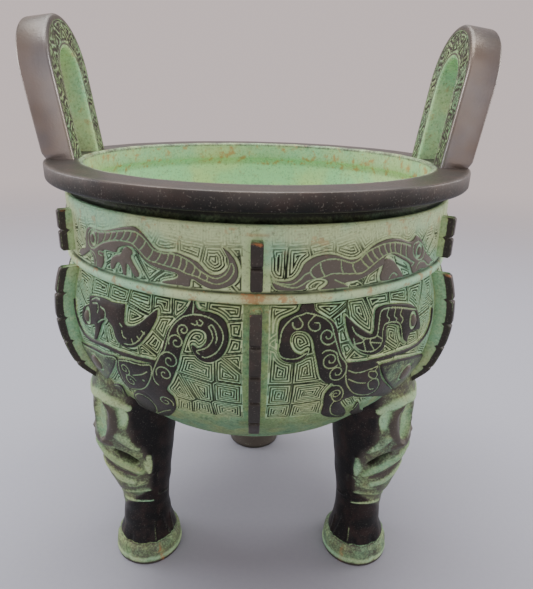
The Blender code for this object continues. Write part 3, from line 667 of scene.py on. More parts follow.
class Value:
    """An output of a node. Arithmetic on it adds Math nodes."""

    def __init__(self, shader, output):
        self.shader = shader
        self.output = output

    def math(self, operation, first, second):
        """Adds a Math node."""
        settings = {"operation": operation}
        return self.shader.node("ShaderNodeMath", settings, {0: first, 1: second})

    def __add__(self, other):
        return self.math("ADD", self, other)

    def __radd__(self, other):
        return self.math("ADD", other, self)

    def __sub__(self, other):
        return self.math("SUBTRACT", self, other)

    def __rsub__(self, other):
        return self.math("SUBTRACT", other, self)

    def __mul__(self, other):
        return self.math("MULTIPLY", self, other)

    def __rmul__(self, other):
        return self.math("MULTIPLY", other, self)


class Shader:
    """The nodes of one material, made one after another."""

    def __init__(self, name):
        self.material = bpy.data.materials.new(name)
        self.material.use_nodes = True
        self.nodes = self.material.node_tree.nodes
        self.links = self.material.node_tree.links
        self.surface = self.nodes["Principled BSDF"]
        self.place = self.node("ShaderNodeTexCoord", output="Object")

    def feed(self, socket, value):
        """Sets a socket to a number or colour, or links it."""
        if isinstance(value, Value):
            self.links.new(value.output, socket)
        else:
            socket.default_value = value

    def node(self, kind, settings=None, inputs=None, output=0):
        """Adds a node, with its settings first and then its sockets."""
        made = self.nodes.new(kind)
        for key, value in (settings or {}).items():
            setattr(made, key, value)
        for key, value in (inputs or {}).items():
            self.feed(made.inputs[key], value)
        return Value(self, made.outputs[output])

    def attribute(self, name):
        """A value that the mesh holds at its points."""
        return self.node("ShaderNodeAttribute", {"attribute_name": name}, output="Fac")

    def mix(self, factor, first, second):
        """Goes from one colour to another."""
        ends = [each if isinstance(each, Value) else colour(each) for each in (first, second)]
        return self.node("ShaderNodeMix", {"data_type": "RGBA"}, {0: factor, 6: ends[0], 7: ends[1]}, 2)

    def noise(self, size, detail=3.0, roughness=0.5, shift=0.0):
        """Cloudy values about 0.5, whose lumps have a size in millimetres."""
        place = self.place
        if shift:
            settings = {"operation": "ADD"}
            place = self.node("ShaderNodeVectorMath", settings, {0: place, 1: (shift,) * 3})
        values = {"Vector": place, "Scale": 1 / (size * MM), "Detail": detail, "Roughness": roughness}
        return self.node("ShaderNodeTexNoise", inputs=values)

    def step(self, low, high, value):
        """Smoothstep of a value between two edges."""
        values = {"Value": value, "From Min": low, "From Max": high}
        return self.node("ShaderNodeMapRange", {"interpolation_type": "SMOOTHSTEP"}, values)

    def patches(self, low, high, size, detail, roughness, shift):
        """1 in the high lumps of a noise and 0 in the low ones."""
        return self.step(low, high, self.noise(size, detail, roughness, shift))


def colour(value):
    """A colour with full alpha."""
    return (*value[:3], 1.0)


def bronze(finish):
    """Dark cast bronze under a green to aqua patina.

    The patina value covers the metal, its edges broken by noise. The groove_and_shade value is painted
    shade: it darkens what lies deep, such as grooves, cut lines, creases, the mouth's slot, the recess
    under the rim and the foot of each hoof, and also the rim's outer edge and the belly's underside. The
    crest value pales the tops of the ground's lines, and over the dragons' band it is pale patina with
    painted light from above. The rust value lets orange spots through, the polish value bares smooth
    metal and the tone value dusts the raised figures.
    """
    shader = Shader(SLOT)
    patina, groove_and_shade, crest, rust, polish, tone = (
        shader.attribute(name) for name in ("patina", "groove_and_shade", "crest", "rust", "polish", "tone"))
    clouds = shader.noise(20.0, 4.0)
    blotches = shader.noise(6.0, 5.0, 0.6)
    grain = shader.noise(0.8, 3.0, 0.6)
    metal = bare_metal(shader, finish, clouds, blotches, crest, polish, tone)
    green = patina_colour(shader, finish, clouds, grain, crest)

    cover = shader.step(0.30, 0.62, patina + (blotches - 0.5) * 0.5 + (grain - 0.5) * 0.4)
    skin = shader.mix(cover, metal, green)
    # Painted shade: where groove_and_shade is high the skin goes to a near-black colour, its depth varied
    # by noise.
    depth = 0.84 + 0.16 * shader.patches(0.40, 0.60, 9.0, 3.0, 0.5, 4.3)
    skin = shader.mix(groove_and_shade * depth, skin, finish.painted_shade_dark)
    spots = shader.patches(0.50, 0.66, 4.0, 5.0, 0.65, 3.1)
    stained = shader.step(0.30, 0.95, rust + spots * 0.55 - 0.25)
    skin = shader.mix(stained * 0.75, skin, finish.rust)

    shader.feed(shader.surface.inputs["Base Color"], skin)
    bare = 1.0 - cover
    rough = finish.patina_roughness - bare * (finish.patina_roughness - finish.bronze_roughness)
    rough = rough - polish * bare * (finish.bronze_roughness - finish.polish_roughness)
    shader.feed(shader.surface.inputs["Roughness"], rough + (grain - 0.5) * (0.18 - polish * 0.12))
    shader.feed(shader.surface.inputs["Metallic"], bare * (0.2 + polish * 0.7))
    shader.surface.inputs["Specular IOR Level"].default_value = 0.25
    bumps = grain * 0.5 + blotches * 0.5 + cover * 0.3
    values = {"Strength": 0.4, "Distance": 0.22 * MM, "Height": bumps}
    shader.feed(shader.surface.inputs["Normal"], shader.node("ShaderNodeBump", inputs=values))
    return shader.material


def bare_metal(shader, finish, clouds, blotches, crest, polish, tone):
    """The metal's colour: dark cast bronze, dusted on the figures, and shiny where it is polished."""
    metal = shader.mix(shader.step(0.42, 0.66, blotches), finish.bronze_dark, finish.bronze_warm)
    metal = shader.mix(tone, metal, finish.bronze_dusty)
    worn = shader.patches(0.35, 0.65, 16.0, 2.0, 0.4, 7.7) * crest
    shine = shader.mix(shader.step(0.35, 0.68, clouds), finish.bronze_polished, finish.bronze_brown)
    metal = shader.mix(polish, metal, shader.mix(worn, shine, finish.bronze_worn))
    specks = shader.patches(0.60, 0.72, 0.55, 2.0, 0.5, 0.3)
    dust = specks * (0.22 + tone * 0.3 + crest * (1.0 - polish) * 0.5)
    return shader.mix(dust, metal, finish.bronze_dust)


def patina_colour(shader, finish, clouds, grain, crest):
    """The patina's colour: greens in clouds, stained and dirty, and pale on its crests."""
    green = shader.mix(shader.step(0.36, 0.62, clouds), finish.patina_green, finish.patina_aqua)
    yellow = shader.patches(0.46, 0.70, 11.0, 4.0, 0.6, 0.7)
    green = shader.mix(yellow * 0.6, green, finish.patina_yellow)
    darker = shader.patches(0.50, 0.72, 4.0, 5.0, 0.65, 1.9)
    green = shader.mix(darker * 0.5, green, finish.patina_deep)
    dirt = shader.patches(0.52, 0.68, 1.5, 5.0, 0.7, 5.7)
    green = shader.mix(dirt * 0.6, green, finish.patina_deep)
    stain = shader.patches(0.50, 0.66, 7.0, 5.0, 0.65, 6.1)
    green = shader.mix(stain * 0.4, green, finish.patina_yellow)
    bluer = shader.patches(0.44, 0.60, 26.0, 3.0, 0.5, 8.3)
    chalk = shader.mix(bluer, finish.patina_pale, finish.patina_chalk)
    green = shader.mix(crest * (0.94 - dirt * 0.25), green, chalk)
    green = shader.mix(shader.step(0.40, 0.70, grain) * 0.25, green, finish.patina_pale)
    pits = shader.patches(0.54, 0.66, 0.9, 4.0, 0.65, 9.1)
    green = shader.mix(pits * 0.38, green, finish.patina_deep)
    scuffs = shader.patches(0.56, 0.70, 3.2, 5.0, 0.7, 11.3)
    return shader.mix(scuffs * 0.30, green, finish.bronze_brown)


def arc(centre, radius, start, end, steps):
    """Points on an arc round a centre, between two angles in degrees."""
    angle = np.radians(np.linspace(start, end, steps))
    return np.column_stack([centre[0] + radius * np.cos(angle), centre[1] + radius * np.sin(angle)])


def lathe_profile():
    """Half section of the bowl in (radius, level), from the inside bottom round to the outside one.

    Gives the points with their patina, groove_and_shade, rust, polish and crest values as further
    columns.
    The second of these paints shade in the recess under the rim, on the rim's outer edge and over the
    belly's underside.
    The belly is sunk a little behind the beast faces' panels, which stand in front of it.
    """
    turn = np.radians(np.linspace(88.5, 2, 30))
    inside = np.column_stack([
        (BELLY_RADIUS - WALL) * np.cos(turn), BELLY_LEVEL - (BELLY_DEPTH - WALL) * np.sin(turn)])
    soft, sharp = RIM_ROUNDING, RIM_CORNER
    upper = curve_through([
        inside[-1], (BAND_RADIUS - WALL, RIDGE_LEVEL), (MOUTH_RADIUS + 1.4, BAND_TOP - 1),
        (MOUTH_RADIUS, BAND_TOP + 3), (MOUTH_RADIUS, RIM_TOP - soft)], 8)[1:-1]
    lip = arc((MOUTH_RADIUS + soft, RIM_TOP - soft), soft, 180, 90, 5)
    flat = np.linspace(MOUTH_RADIUS + soft, RIM_RADIUS - sharp, 8)[1:-1]
    flat = np.column_stack([flat, np.full(len(flat), RIM_TOP)])
    brow = arc((RIM_RADIUS - sharp, RIM_TOP - sharp), sharp, 90, 0, 5)
    edge = arc((RIM_RADIUS - soft, RIM_UNDERSIDE + soft), soft, 0, -90, 5)
    under = np.array([(RIM_RADIUS - 3.5, RIM_UNDERSIDE), (NECK_RADIUS + 1.5, RIM_UNDERSIDE)])
    neck = arc((NECK_RADIUS + 1.0, RIM_UNDERSIDE - 1.0), 1.0, 90, 180, 4)
    shelf = arc((NECK_RADIUS + 1.2, BAND_TOP + 1.2), 1.2, 180, 270, 4)
    corner = arc((BAND_RADIUS - 0.8, BAND_TOP - 0.8), 0.8, 90, 0, 4)
    start = math.asin((BELLY_LEVEL - RIDGE_BOTTOM) / BELLY_DEPTH)
    turn = np.linspace(start, math.pi / 2 - 0.02, 46)
    belly = np.column_stack([BELLY_RADIUS * np.cos(turn), BELLY_LEVEL - BELLY_DEPTH * np.sin(turn)])
    sunk = smooth(0.0, 0.25, (turn - start)) * (1 - smooth(0.86, 1.08, turn - start))
    belly[:, 0] -= BELLY_SUNK * np.maximum(sunk, turn < start + 0.3)
    # Painted shade, the second value: dark in the recess under the rim (under, neck, shelf), a painted
    # dark reflection on the rim's unpolished outer edge (edge), and shade over the belly's underside
    # (belly). On the rim's flat top it only makes the metal a little darker.
    parts = (
        (inside, (1.0, 0.0, 0.12, 0.0, 1.0)),
        (upper[upper[:, 1] < BAND_TOP], (1.0, 0.0, 0.22, 0.0, 0.9)),
        (upper[upper[:, 1] >= BAND_TOP], (0.95, 0.05, 0.6, 0.0, 0.5)),
        (lip, (0.45, 0.0, 0.3, 0.2, 0.3)),
        (flat, (0.14, 0.2, 0.0, 0.12, 0.1)),
        (brow, (0.12, 0.0, 0.0, 0.25, 0.8)),
        (edge, (0.12, 0.35, 0.0, 0.0, 0.7)),
        (under, (0.1, 0.3, 0.0, 0.0, 0.0)),
        (neck, (0.1, 0.9, 0.0, 0.0, 0.0)),
        (shelf, (0.45, 0.8, 0.0, 0.0, 0.0)),
        (corner, (0.9, 0.0, 0.0, 0.0, 0.6)),
        (belly, (0.85, 0.3, 0.12, 0.0, 0.0)),
    )
    rows = [np.column_stack([points, np.tile(values, (len(points), 1))]) for points, values in parts]
    return np.vstack(rows)


def bowl_piece(shape, material):
    """The bowl with its rim: a profile turned round Z, slightly uneven as cast metal is."""
    profile = lathe_profile()
    columns = shape.bowl_columns
    around = np.arange(columns) * 2 * math.pi / columns
    radius, level = profile[:, :1], profile[:, 1:2]
    points = round_axis(radius, around, level)
    uneven = np.abs(shape.unevenness * ripple(points, 30.0, 3))
    away = points * [1, 1, 0] / radius[..., None]
    held = np.where(level > RIM_TOP - 0.3, 0.3, 1.0) * smooth(2.0, 12.0, radius)
    points = points - away * (uneven * held)[..., None]
    points[..., 2] -= uneven * 0.5 * (level > RIM_UNDERSIDE + 2)
    count = len(profile) * columns
    ends = np.array([[0, 0, BELLY_LEVEL - BELLY_DEPTH + WALL], [0, 0, BELLY_LEVEL - BELLY_DEPTH]])
    faces = [grid_quads(len(profile), columns, close_columns=True, flip=True),
             fan(np.arange(columns), count), fan(np.arange(count - columns, count), count + 1, flip=True)]
    values = np.vstack([np.repeat(profile[:, 2:], columns, axis=0), profile[[0, -1], 2:]])
    given = dict(zip(("patina", "groove_and_shade", "rust", "polish", "crest"), values.T))
    finish = finish_values(len(values), **given)
    return new_piece("bowl", np.vstack([points.reshape(-1, 3), ends]), faces, finish, material)


def scaled(points, width, length):
    """Thousandths of a sector and of a band as millimetres."""
    return np.array(points, float) / 1000 * [width, length]


def figure_fields(x, y, size, outlines, lines, shape):
    """Distance to the nearest of a band's outlines, and the lines cut into them, 1 on a cut."""
    figure = np.full(x.shape, FAR)
    for outline in outlines:
        figure = np.minimum(figure, outline_field(x, y, scaled(outline, *size)))
    cuts = np.zeros(x.shape)
    for line in lines:
        cuts = np.maximum(cuts, line_cut(x, y, scaled(line, *size), shape.cut_width))
    return figure, cuts


def upper_fields(x, y, right, pitch, shape):
    """The dragons' band at points across and down a sector, in the order of Fields."""
    size = (SECTOR * BAND_RADIUS, UPPER_LENGTH)
    outlines, lines, rungs = DRAGONS[right]
    figure, cuts = figure_fields(x, y, size, outlines, lines, shape)
    for first, second in rungs:
        start = scaled(point_on(lines[0], first), *size)
        end = scaled(point_on(lines[1], second), *size)
        bow = (start + end) / 2 + np.array([RUNG_BOW, 0.0])
        cuts = np.maximum(cuts, line_cut(x, y, [start, bow, end], shape.cut_width, 3))
    eye = scaled(DRAGON_EYES[right], *size)
    ball = np.hypot((x - eye[0]) * 0.95, (y - eye[1]) * 0.72) - DRAGON_EYE_RADIUS
    edge = np.minimum(np.minimum(y, UPPER_LENGTH - y), np.minimum(x, size[0] - x) - PLAIN_STRIP)
    border = np.maximum(np.minimum(figure, edge), 0.0)
    hand = 1 if right else -1
    phase, divide = spiral_ground(x, y, border, scaled(UPPER_MIDDLES, *size), pitch, hand)
    return Fields(figure, cuts, phase, divide, edge, ball, np.zeros(x.shape))


def lower_fields(x, y, right, pitch, shape):
    """The beast faces' band at points across and down a sector, in the order of Fields."""
    size = (SECTOR * BELLY_RADIUS, LOWER_LENGTH)
    outlines, lines, body, scrolls, middles, panel = BEASTS[right]
    figure, cuts = figure_fields(x, y, size, outlines, lines, shape)
    body = np.column_stack([scaled(body, *size), np.full(len(body), BODY_WIDTH)])
    figure = np.minimum(figure, stroke_field(x, y, curve_through(body, 4), 6.0))
    for u, v, radius, start, hand in scrolls:
        curl = scroll_points(scaled((u, v), *size), radius, start, hand)
        cuts = np.maximum(cuts, line_cut(x, y, curl, shape.cut_width, 1))
    eye = scaled(BEAST_EYES[right], *size)
    ball = np.hypot(x - eye[0], y - eye[1]) - shape.eye_radius
    small = scaled(SERPENT_EYES[right], *size)
    ball = np.minimum(ball, np.hypot(x - small[0], (y - small[1]) * 0.7) - SERPENT_EYE_RADIUS)
    edge = np.minimum(y, GROUND_END * LOWER_LENGTH - y)
    edge = np.minimum(edge, np.minimum(x, size[0] - x) - PLAIN_STRIP)
    border = np.maximum(np.minimum(figure, edge), 0.0)
    hand = -1 if right else 1
    phase, divide = spiral_ground(x, y, border, scaled(middles, *size), pitch, hand)
    around_eye = smooth(0.3, 1.2, -outline_field(x, y, scaled(outlines[panel], *size)))
    return Fields(figure, cuts, phase, divide, edge, ball, around_eye)


def ground_lines(x, y, fields, plate, lower, right):
    """Grooves and crests of the spiral ground, each 0 to 1.

    A groove is where the phase's wave is high or two spirals meet, a crest where the wave is low.
    The grooves are sunk and also carry painted shade. On the dragons' band the ground off the figures
    gets a crest of at least 0.8: pale patina with painted light from above. The casting is worn in
    places: both fade towards the top of the dragons' band, and the grooves fade in a patch by the
    dividing flange on the right beast faces.
    """
    ground = smooth(0.05, 0.25, fields.figure) * smooth(0.0, 0.3, fields.edge)
    wave = line_wave(fields.phase)
    groove_and_shade = np.maximum(smooth(0.34, 0.62, wave), 1 - smooth(0.10, 0.28, fields.divide)) * ground
    crest = (1 - smooth(0.15, 0.5, wave)) * ground
    if lower:
        plain = (1 - smooth(5.5, 7.5, x)) * smooth(3.0, 5.0, y) * (1 - smooth(15.0, 17.0, y)) * right
        return groove_and_shade * (1 - 0.85 * plain), crest
    faint = 0.15 + 0.85 * smooth(3.0, 9.0, y)
    # Pale patina with painted light from above: the dragons' ground off the figures is paled all over.
    return groove_and_shade * faint, np.maximum(crest * faint, 0.8 * (1 - plate))


def frieze_relief(x, y, ridge, lower, right, pitch, shape):
    """How far a panel's face stands off the wall, in millimetres, and its finish.

    The height is the figures' plates with soft edges and a slight crown, less the lines cut into
    them and the ground's grooves, with a moat round each eye and a dome on it. The upper edge of
    the dragons' band and the foot of the beast faces' band draw back into the wall.
    """
    fields = lower_fields(x, y, right, pitch, shape) if lower else upper_fields(x, y, right, pitch, shape)
    figure, ball = fields.figure, fields.ball
    plate = (1 - smooth(-0.3, 0.1, figure)) * (1 - ridge)
    cuts = fields.cuts * (figure < 0.1) * (1 - ridge)
    groove_and_shade, crest = ground_lines(x, y, fields, plate, lower, right)
    raised = shape.beast_height if lower else shape.dragon_height
    crown = smooth(0.0, 2.2, -figure) * 0.15
    height = plate * (raised + crown - 0.15) - cuts * shape.cut_depth - groove_and_shade * shape.ground_depth
    big = shape.eye_radius if lower else DRAGON_EYE_RADIUS
    dome = np.sqrt(np.clip(1 - ((ball + big) / big) ** 2, 0, 1)) * (ball < 0)
    moat = smooth(-0.15, 0.1, ball) * (1 - smooth(0.45, 0.75, ball)) * (figure < 1.0)
    height = height * (1 - 0.5 * moat) + dome * (BEAST_EYE_HEIGHT if lower else DRAGON_EYE_HEIGHT)
    if lower:
        height -= LOWER_FOOT_DRAW * smooth(LOWER_LENGTH, PANEL_LENGTH, y)
    else:
        height -= UPPER_EDGE_DRAW * (1 - smooth(0.0, 0.8, y))
    return height, frieze_finish(x, y, ridge, lower, fields, plate, cuts, groove_and_shade, crest, moat)


def frieze_finish(x, y, ridge, lower, fields, plate, cuts, groove_and_shade, crest, moat):
    """Finish of a panel: green ground and cut lines, dark plates, rust by the flange and rim, and painted
    shade in the grooves, the cut lines, the creases by the ridge and towards the beast faces' foot.
    """
    # Painted shade in the creases where each band meets the ridge, and on the cut lines.
    down = y / 0.55 if lower else (y - UPPER_LENGTH) / 0.45
    ridge_crease_shade = (0.9 if lower else 0.95) * np.exp(-(down**2))
    groove_and_shade = np.maximum(np.maximum(groove_and_shade, smooth(0.3, 0.9, cuts) * 0.25), ridge_crease_shade)
    patina = np.maximum(1 - plate, smooth(0.2, 0.65, cuts))
    patina = np.maximum(patina, np.maximum(moat, fields.panel * 0.42 * (fields.ball > 0)))
    patina = np.where(ridge > 0, 0.9, patina)
    crest = np.maximum(crest, np.maximum(moat * 0.6, 0.85 * ridge))
    crest = np.maximum(crest, smooth(0.3, 0.8, cuts) * 0.5)
    near_flange = (1 - smooth(2.0, 7.0, x)) * (1 - smooth(0.5, 5.0, y))
    rust = np.where(ridge > 0, 0.44 + 0.4 * np.exp(-((x / 8) ** 2)), 0.55 * near_flange)
    if lower:
        # Painted shade: darker, with duller crests, towards the foot of the beast faces' band.
        groove_and_shade = np.maximum(groove_and_shade, 0.3 * smooth(38.0, 46.0, y))
        crest = crest * (1 - 0.8 * smooth(36.0, 44.0, y))
        tone = plate * 0.12 + 0.75 * (fields.ball < 0)
    else:
        stain = np.exp(-(((y - 2.6) / 1.1) ** 2)) * (1 - smooth(2.0, 6.5, x))
        rust = np.maximum(rust, np.maximum(0.85 * stain, 0.34 * (1 - smooth(3.0, 12.0, y))))
        tone = plate
    return finish_values(x.shape, patina=patina, groove_and_shade=groove_and_shade, crest=crest, rust=rust, tone=tone)


def frieze_piece(sector, lower, shape, material):
    """A sixth of one band: a curved slab whose outer face carries the raised figures.

    The outer face is the wall's profile moved outwards by the relief, and the back is a plain face
    inside the wall. Both are turned round Z to one side of the sector's dividing flange.
    """
    right = sector % 2 == 0
    front = sector in (0, SECTORS - 1)
    step = shape.front_step if front else shape.back_step
    pitch = shape.line_pitch if front else shape.side_pitch
    profile = lower_profile(step) if lower else upper_profile(step)
    base = BELLY_RADIUS if lower else BAND_RADIUS
    width = SECTOR * base
    across = spaced((PLAIN_STRIP, step * 3), (width - PLAIN_STRIP, step), (width, step * 3))
    x, y = np.meshgrid(across, profile[:, 4])
    height, finish = frieze_relief(x, y, profile[:, 5:] * np.ones(x.shape), lower, right, pitch, shape)
    azimuth = SECTOR * 2 * ((sector + 1) // 2) + (1 if right else -1) * across / base
    radius = profile[:, :1] + profile[:, 2:3] * height
    face = round_axis(radius, azimuth, profile[:, 1:2] + profile[:, 3:4] * height)
    sway = 0.5 * shape.unevenness * ripple(face, 14.0, 5)
    face += face * [1, 1, 0] / radius[..., None] * sway[..., None]
    back_rows = profile[np.linspace(len(profile) - 1, 0, BACK_ROWS).round().astype(int)]
    back_radius = np.minimum(back_rows[:, :1], outer_radius(back_rows[:, 1:2])) - PANEL_THICKNESS
    back = round_axis(back_radius, azimuth, np.clip(back_rows[:, 1:2], None, BAND_TOP - 0.6))
    points = np.concatenate([face, back])
    rows, columns = points.shape[:2]
    ends = np.arange(rows)[None, :] * columns
    faces = [grid_quads(rows, columns, close_rows=True, flip=right)]
    faces.append(ends[:, ::-1] if right else ends)
    faces.append((ends if right else ends[:, ::-1]) + columns - 1)
    spare = finish_values((BACK_ROWS, columns), patina=1.0)
    finish = {key: np.concatenate([values, spare[key]]) for key, values in finish.items()}
    name = f"beast_face_{sector}" if lower else f"dragon_{sector}"
    return new_piece(name, points.reshape(-1, 3), faces, finish, material)


def flange_surface(top, bottom, proud, notches, azimuth, start):
    """A notched flange: its rounded section carried down the wall, drawn in at each notch.

    The section's corners are given by how far they lie in from the edge, so that the sides keep to
    the wall while the edge follows the taper and the notches.
    """
    pitch = (top - bottom) / (notches + 1)
    level = np.linspace(top, bottom, 30 * (notches + 1) + 1)
    nearest = np.abs((top - level + pitch / 2) % pitch - pitch / 2)
    nearest = np.where((level > top - pitch / 2) | (level < bottom + pitch / 2), FAR, nearest)
    notch = np.exp(-((nearest / (NOTCH_WIDTH * 0.45)) ** 2))
    taper = FLANGE_TAPER * smooth(bottom + pitch, bottom, level) * (bottom < BELLY_LEVEL)
    ends = np.minimum(level - bottom, top - level)
    rounded = 0.5 * (1 - smooth(0.0, 0.7, ends))
    reach = FLANGE_ROOT + proud * (1 - taper) - NOTCH_DEPTH * notch - rounded
    turn = np.radians(np.linspace(0, 90, 5))
    soft = FLANGE_ROUNDING
    half = FLANGE_THICKNESS / 2
    across = np.concatenate([np.full(5, half), half - soft + soft * np.cos(turn)])
    inwards = np.concatenate([FLANGE_SIDE, soft - soft * np.sin(turn)])
    across = np.concatenate([across, -across[::-1]])
    inwards = np.concatenate([inwards, inwards[::-1]])
    depth = np.minimum(inwards, reach[:, None])
    narrow = (1 - 0.12 * notch) * (1 - 0.15 * (1 - smooth(0.0, 0.6, ends)))
    radius = (outer_radius(level) - FLANGE_ROOT + reach)[:, None] - depth
    points = facing(azimuth, radius, across * narrow[:, None], level[:, None])
    patina = smooth(1.7, 3.0, depth) * 0.95
    patina = np.maximum(patina, 0.42 * np.exp(-(((depth - 0.35) / 0.25) ** 2)))
    patina = np.maximum(patina, smooth(0.25, 0.8, notch)[:, None] * 0.26)
    patina = np.maximum(patina, (1 - smooth(0.0, 0.5, ends))[:, None] * 0.5)
    rust = (smooth(top - 1.6, top - 0.1, level) * 0.6)[:, None]
    finish = finish_values(radius.shape, patina=patina, rust=rust, crest=patina * 0.4, tone=0.25)
    return points.reshape(-1, 3), tube_faces(*radius.shape, start), finish


def flanges_piece(material):
    """All twelve flange lengths, one above and one below the ridge at each sixth of a turn."""
    gap = RIDGE_HEIGHT / 2
    points, faces, finishes = [], [], []
    count = 0
    for i in range(SECTORS):
        for top, bottom, proud, notches in (
            (BAND_TOP - UPPER_FLANGE_DROP, RIDGE_TOP + gap, UPPER_FLANGE_PROUD, 1),
            (RIDGE_BOTTOM - gap / 2, FLANGE_END, LOWER_FLANGE_PROUD, 4),
        ):
            made, quads, finish = flange_surface(top, bottom, proud, notches, SECTOR * i, count)
            points.append(made)
            faces += quads
            finishes.append({key: values.ravel() for key, values in finish.items()})
            count += len(made)
    finish = {key: np.concatenate([each[key] for each in finishes]) for key in finishes[0]}
    return new_piece("flanges", np.vstack(points), faces, finish, material)


def arch(half_width, height, shoulder, t):
    """An upturned U at shares t of its length: up a straight side, round the top and down again."""
    straight = height - shoulder
    quarter = math.pi / 2 * math.sqrt((half_width**2 + shoulder**2) / 2)
    total = 2 * (straight + quarter)
    run = t * total
    angle = np.pi - np.clip((run - straight) / (2 * quarter), 0, 1) * np.pi
    across = half_width * np.cos(angle)
    up = straight + shoulder * np.sin(angle)
    rise = np.where(run < straight, run, np.where(run > total - straight, total - run, up))
    return np.stack([across, rise], axis=-1), total


def ear_section():
    """Cross-section of an ear's bar: depth from the inner face, and distance out from the hole."""
    turn = np.radians(np.linspace(0, 90, 5))
    soft = EAR_ROUNDING
    edge = EAR_BAR - soft
    back = EAR_THICKNESS - soft

    def corner(cx, cz, start):
        """A rounded corner about a middle, from a start in degrees."""
        angle = turn + math.radians(start)
        return np.column_stack([cx + soft * np.cos(angle), cz + soft * np.sin(angle)])

    ramp = np.linspace(soft, edge, 26)[1:-1]
    return np.vstack([
        corner(soft, edge, 90), np.column_stack([np.zeros(len(ramp)), ramp[::-1]]),
        corner(soft, soft, 180), corner(back, soft, 270), corner(back, edge, 0),
    ])


def ear_piece(side, material):
    """An ear: a rounded rectangle carried along an arch, with spiral lines on its inner face.

    The arch is leant out and set on the rim, and its foot is drawn in so that it stays on the rim.
    """
    t = np.linspace(0.0, 1.0, EAR_ROWS)
    root = RIM_THICKNESS * 0.4
    outer, _ = arch(EAR_WIDTH / 2, EAR_HEIGHT + root, EAR_SHOULDER, t)
    hole_half = EAR_WIDTH / 2 - EAR_BAR
    inner, length = arch(hole_half, EAR_HEIGHT - EAR_TOP_BAR + root, hole_half, t)
    outer[:, 1] -= root
    inner[:, 1] -= root
    section = ear_section()
    depth = section[:, 0]
    out = section[:, 1] / EAR_BAR
    spot = inner[:, None, :] + (outer - inner)[:, None, :] * out[None, :, None]
    x, y = np.broadcast_arrays(t[:, None] * length, (out * EAR_BAR)[None, :])
    face = np.broadcast_to((depth < 0.01).astype(float), x.shape)
    edge = np.minimum(y - EAR_BORDER, EAR_BAR - EAR_BORDER - y)
    middles = [(place, EAR_BAR / 2 + (EAR_STAGGER if k % 2 else -EAR_STAGGER))
               for k, place in enumerate(np.arange(2.0, length, EAR_SPIRALS))]
    phase, _ = spiral_ground(x, y, np.maximum(edge, 0), middles, EAR_LINE_PITCH, 1)
    wave = line_wave(phase)
    lines = smooth(0.5, 0.85, wave) * smooth(0.0, 0.3, edge) * face
    frame_line = (1 - smooth(0.10, 0.34, np.abs(edge + 0.55))) * face
    deep = depth[None, :] + EAR_LINE_DEPTH * np.maximum(lines, frame_line)
    points = np.stack([deep, spot[..., 0], spot[..., 1]], axis=-1)

    hole = y < EAR_HOLE_EDGE
    # Painted shade: round the top of the arch the ear's outside gets less polish and fewer worn spots, so
    # it reads darker.
    top = (smooth(0.28, 0.42, t) * (1 - smooth(0.58, 0.72, t)))[:, None]
    pale = np.maximum((1 - smooth(0.3, 0.6, wave)) * smooth(0.0, 0.3, edge), frame_line)
    crest = np.maximum(face * 0.1 * pale, (1 - face) * (0.5 - 0.3 * top))
    # Painted shade in the spiral lines of the inner face (groove_and_shade).
    finish = finish_values(
        x.shape, patina=np.where(hole, 1.0, face * (0.24 + 0.26 * pale)), groove_and_shade=lines * 0.55,
        crest=np.where(hole, 0.45, crest), polish=np.where(hole, 0.0, (1 - face) * (1 - 0.75 * top)),
        rust=np.where(hole, 0.3, 0.0), tone=0.5 * face)

    lean = Matrix.Rotation(math.radians(EAR_LEAN), 4, "Y")
    place = Matrix.Translation((MOUTH_RADIUS, 0, RIM_TOP)) @ lean
    turned = np.array(Matrix.Rotation(math.pi * side, 4, "Z") @ place)
    points = points.reshape(-1, 3) @ turned[:3, :3].T + turned[:3, 3]
    away = np.hypot(points[:, 0], points[:, 1])
    limit = RIM_RADIUS - EAR_FOOT_INSET + EAR_FOOT_FLARE * np.maximum(points[:, 2] - RIM_TOP, 0)
    points[:, :2] *= np.minimum(1.0, limit / away)[:, None]
    faces = tube_faces(EAR_ROWS, len(section), flip=True)
    return new_piece(f"ear_{side}", points, faces, finish, material)


def shaft_radius(level):
    """Radius of a leg without its mask, read between the hoof, the ankle, the knee and the shoulder."""
    levels = [HOOF_HEIGHT * share for share, _wide in HOOF_PROFILE] + [ANKLE_LEVEL, MASK_BOTTOM]
    radii = [FOOT_RADIUS * wide for _share, wide in HOOF_PROFILE] + [ANKLE_RADIUS, KNEE_RADIUS]
    shoulder = BELLY_LEVEL - BELLY_DEPTH + (SHOULDER_RADIUS - KNEE_RADIUS)
    levels += [shoulder, shoulder + SHOULDER_RADIUS]
    radii += [SHOULDER_RADIUS * 0.93, SHOULDER_RADIUS]
    return np.interp(level, levels, radii)


def leg_form(angle, level):
    """Smooth radius of a leg at an angle from its outward line: the shaft and the mask's swelling."""
    radius = sum(shaft_radius(level + shift) for shift in (-1.2, -0.4, 0.4, 1.2)) / 4
    radius = np.where(level < HOOF_HEIGHT + 1, shaft_radius(level), radius)
    top = belly_level(LEG_CIRCLE + SHOULDER_RADIUS) + MASK_PROUD
    share = np.clip((level - MASK_BOTTOM) / (top - MASK_BOTTOM), 0, 1)
    rise = np.sin(np.pi * share**0.8) ** 0.7
    front = np.where(np.abs(angle) < np.pi / 1.6, np.clip(np.cos(angle * 0.8), 0, 1) ** 1.5, 0)
    return radius + MASK_PROUD * rise * front


def leg_top(angle):
    """Level at each angle where a leg meets the bowl's underside, found by halving a span."""
    low, high = np.full(angle.shape, MASK_BOTTOM), np.full(angle.shape, BELLY_LEVEL)
    for _ in range(30):
        middle = (low + high) / 2
        radius = leg_form(angle, middle)
        away = np.hypot(LEG_CIRCLE + radius * np.cos(angle), radius * np.sin(angle))
        below = middle < belly_level(away)
        low, high = np.where(below, middle, low), np.where(below, high, middle)
    return low


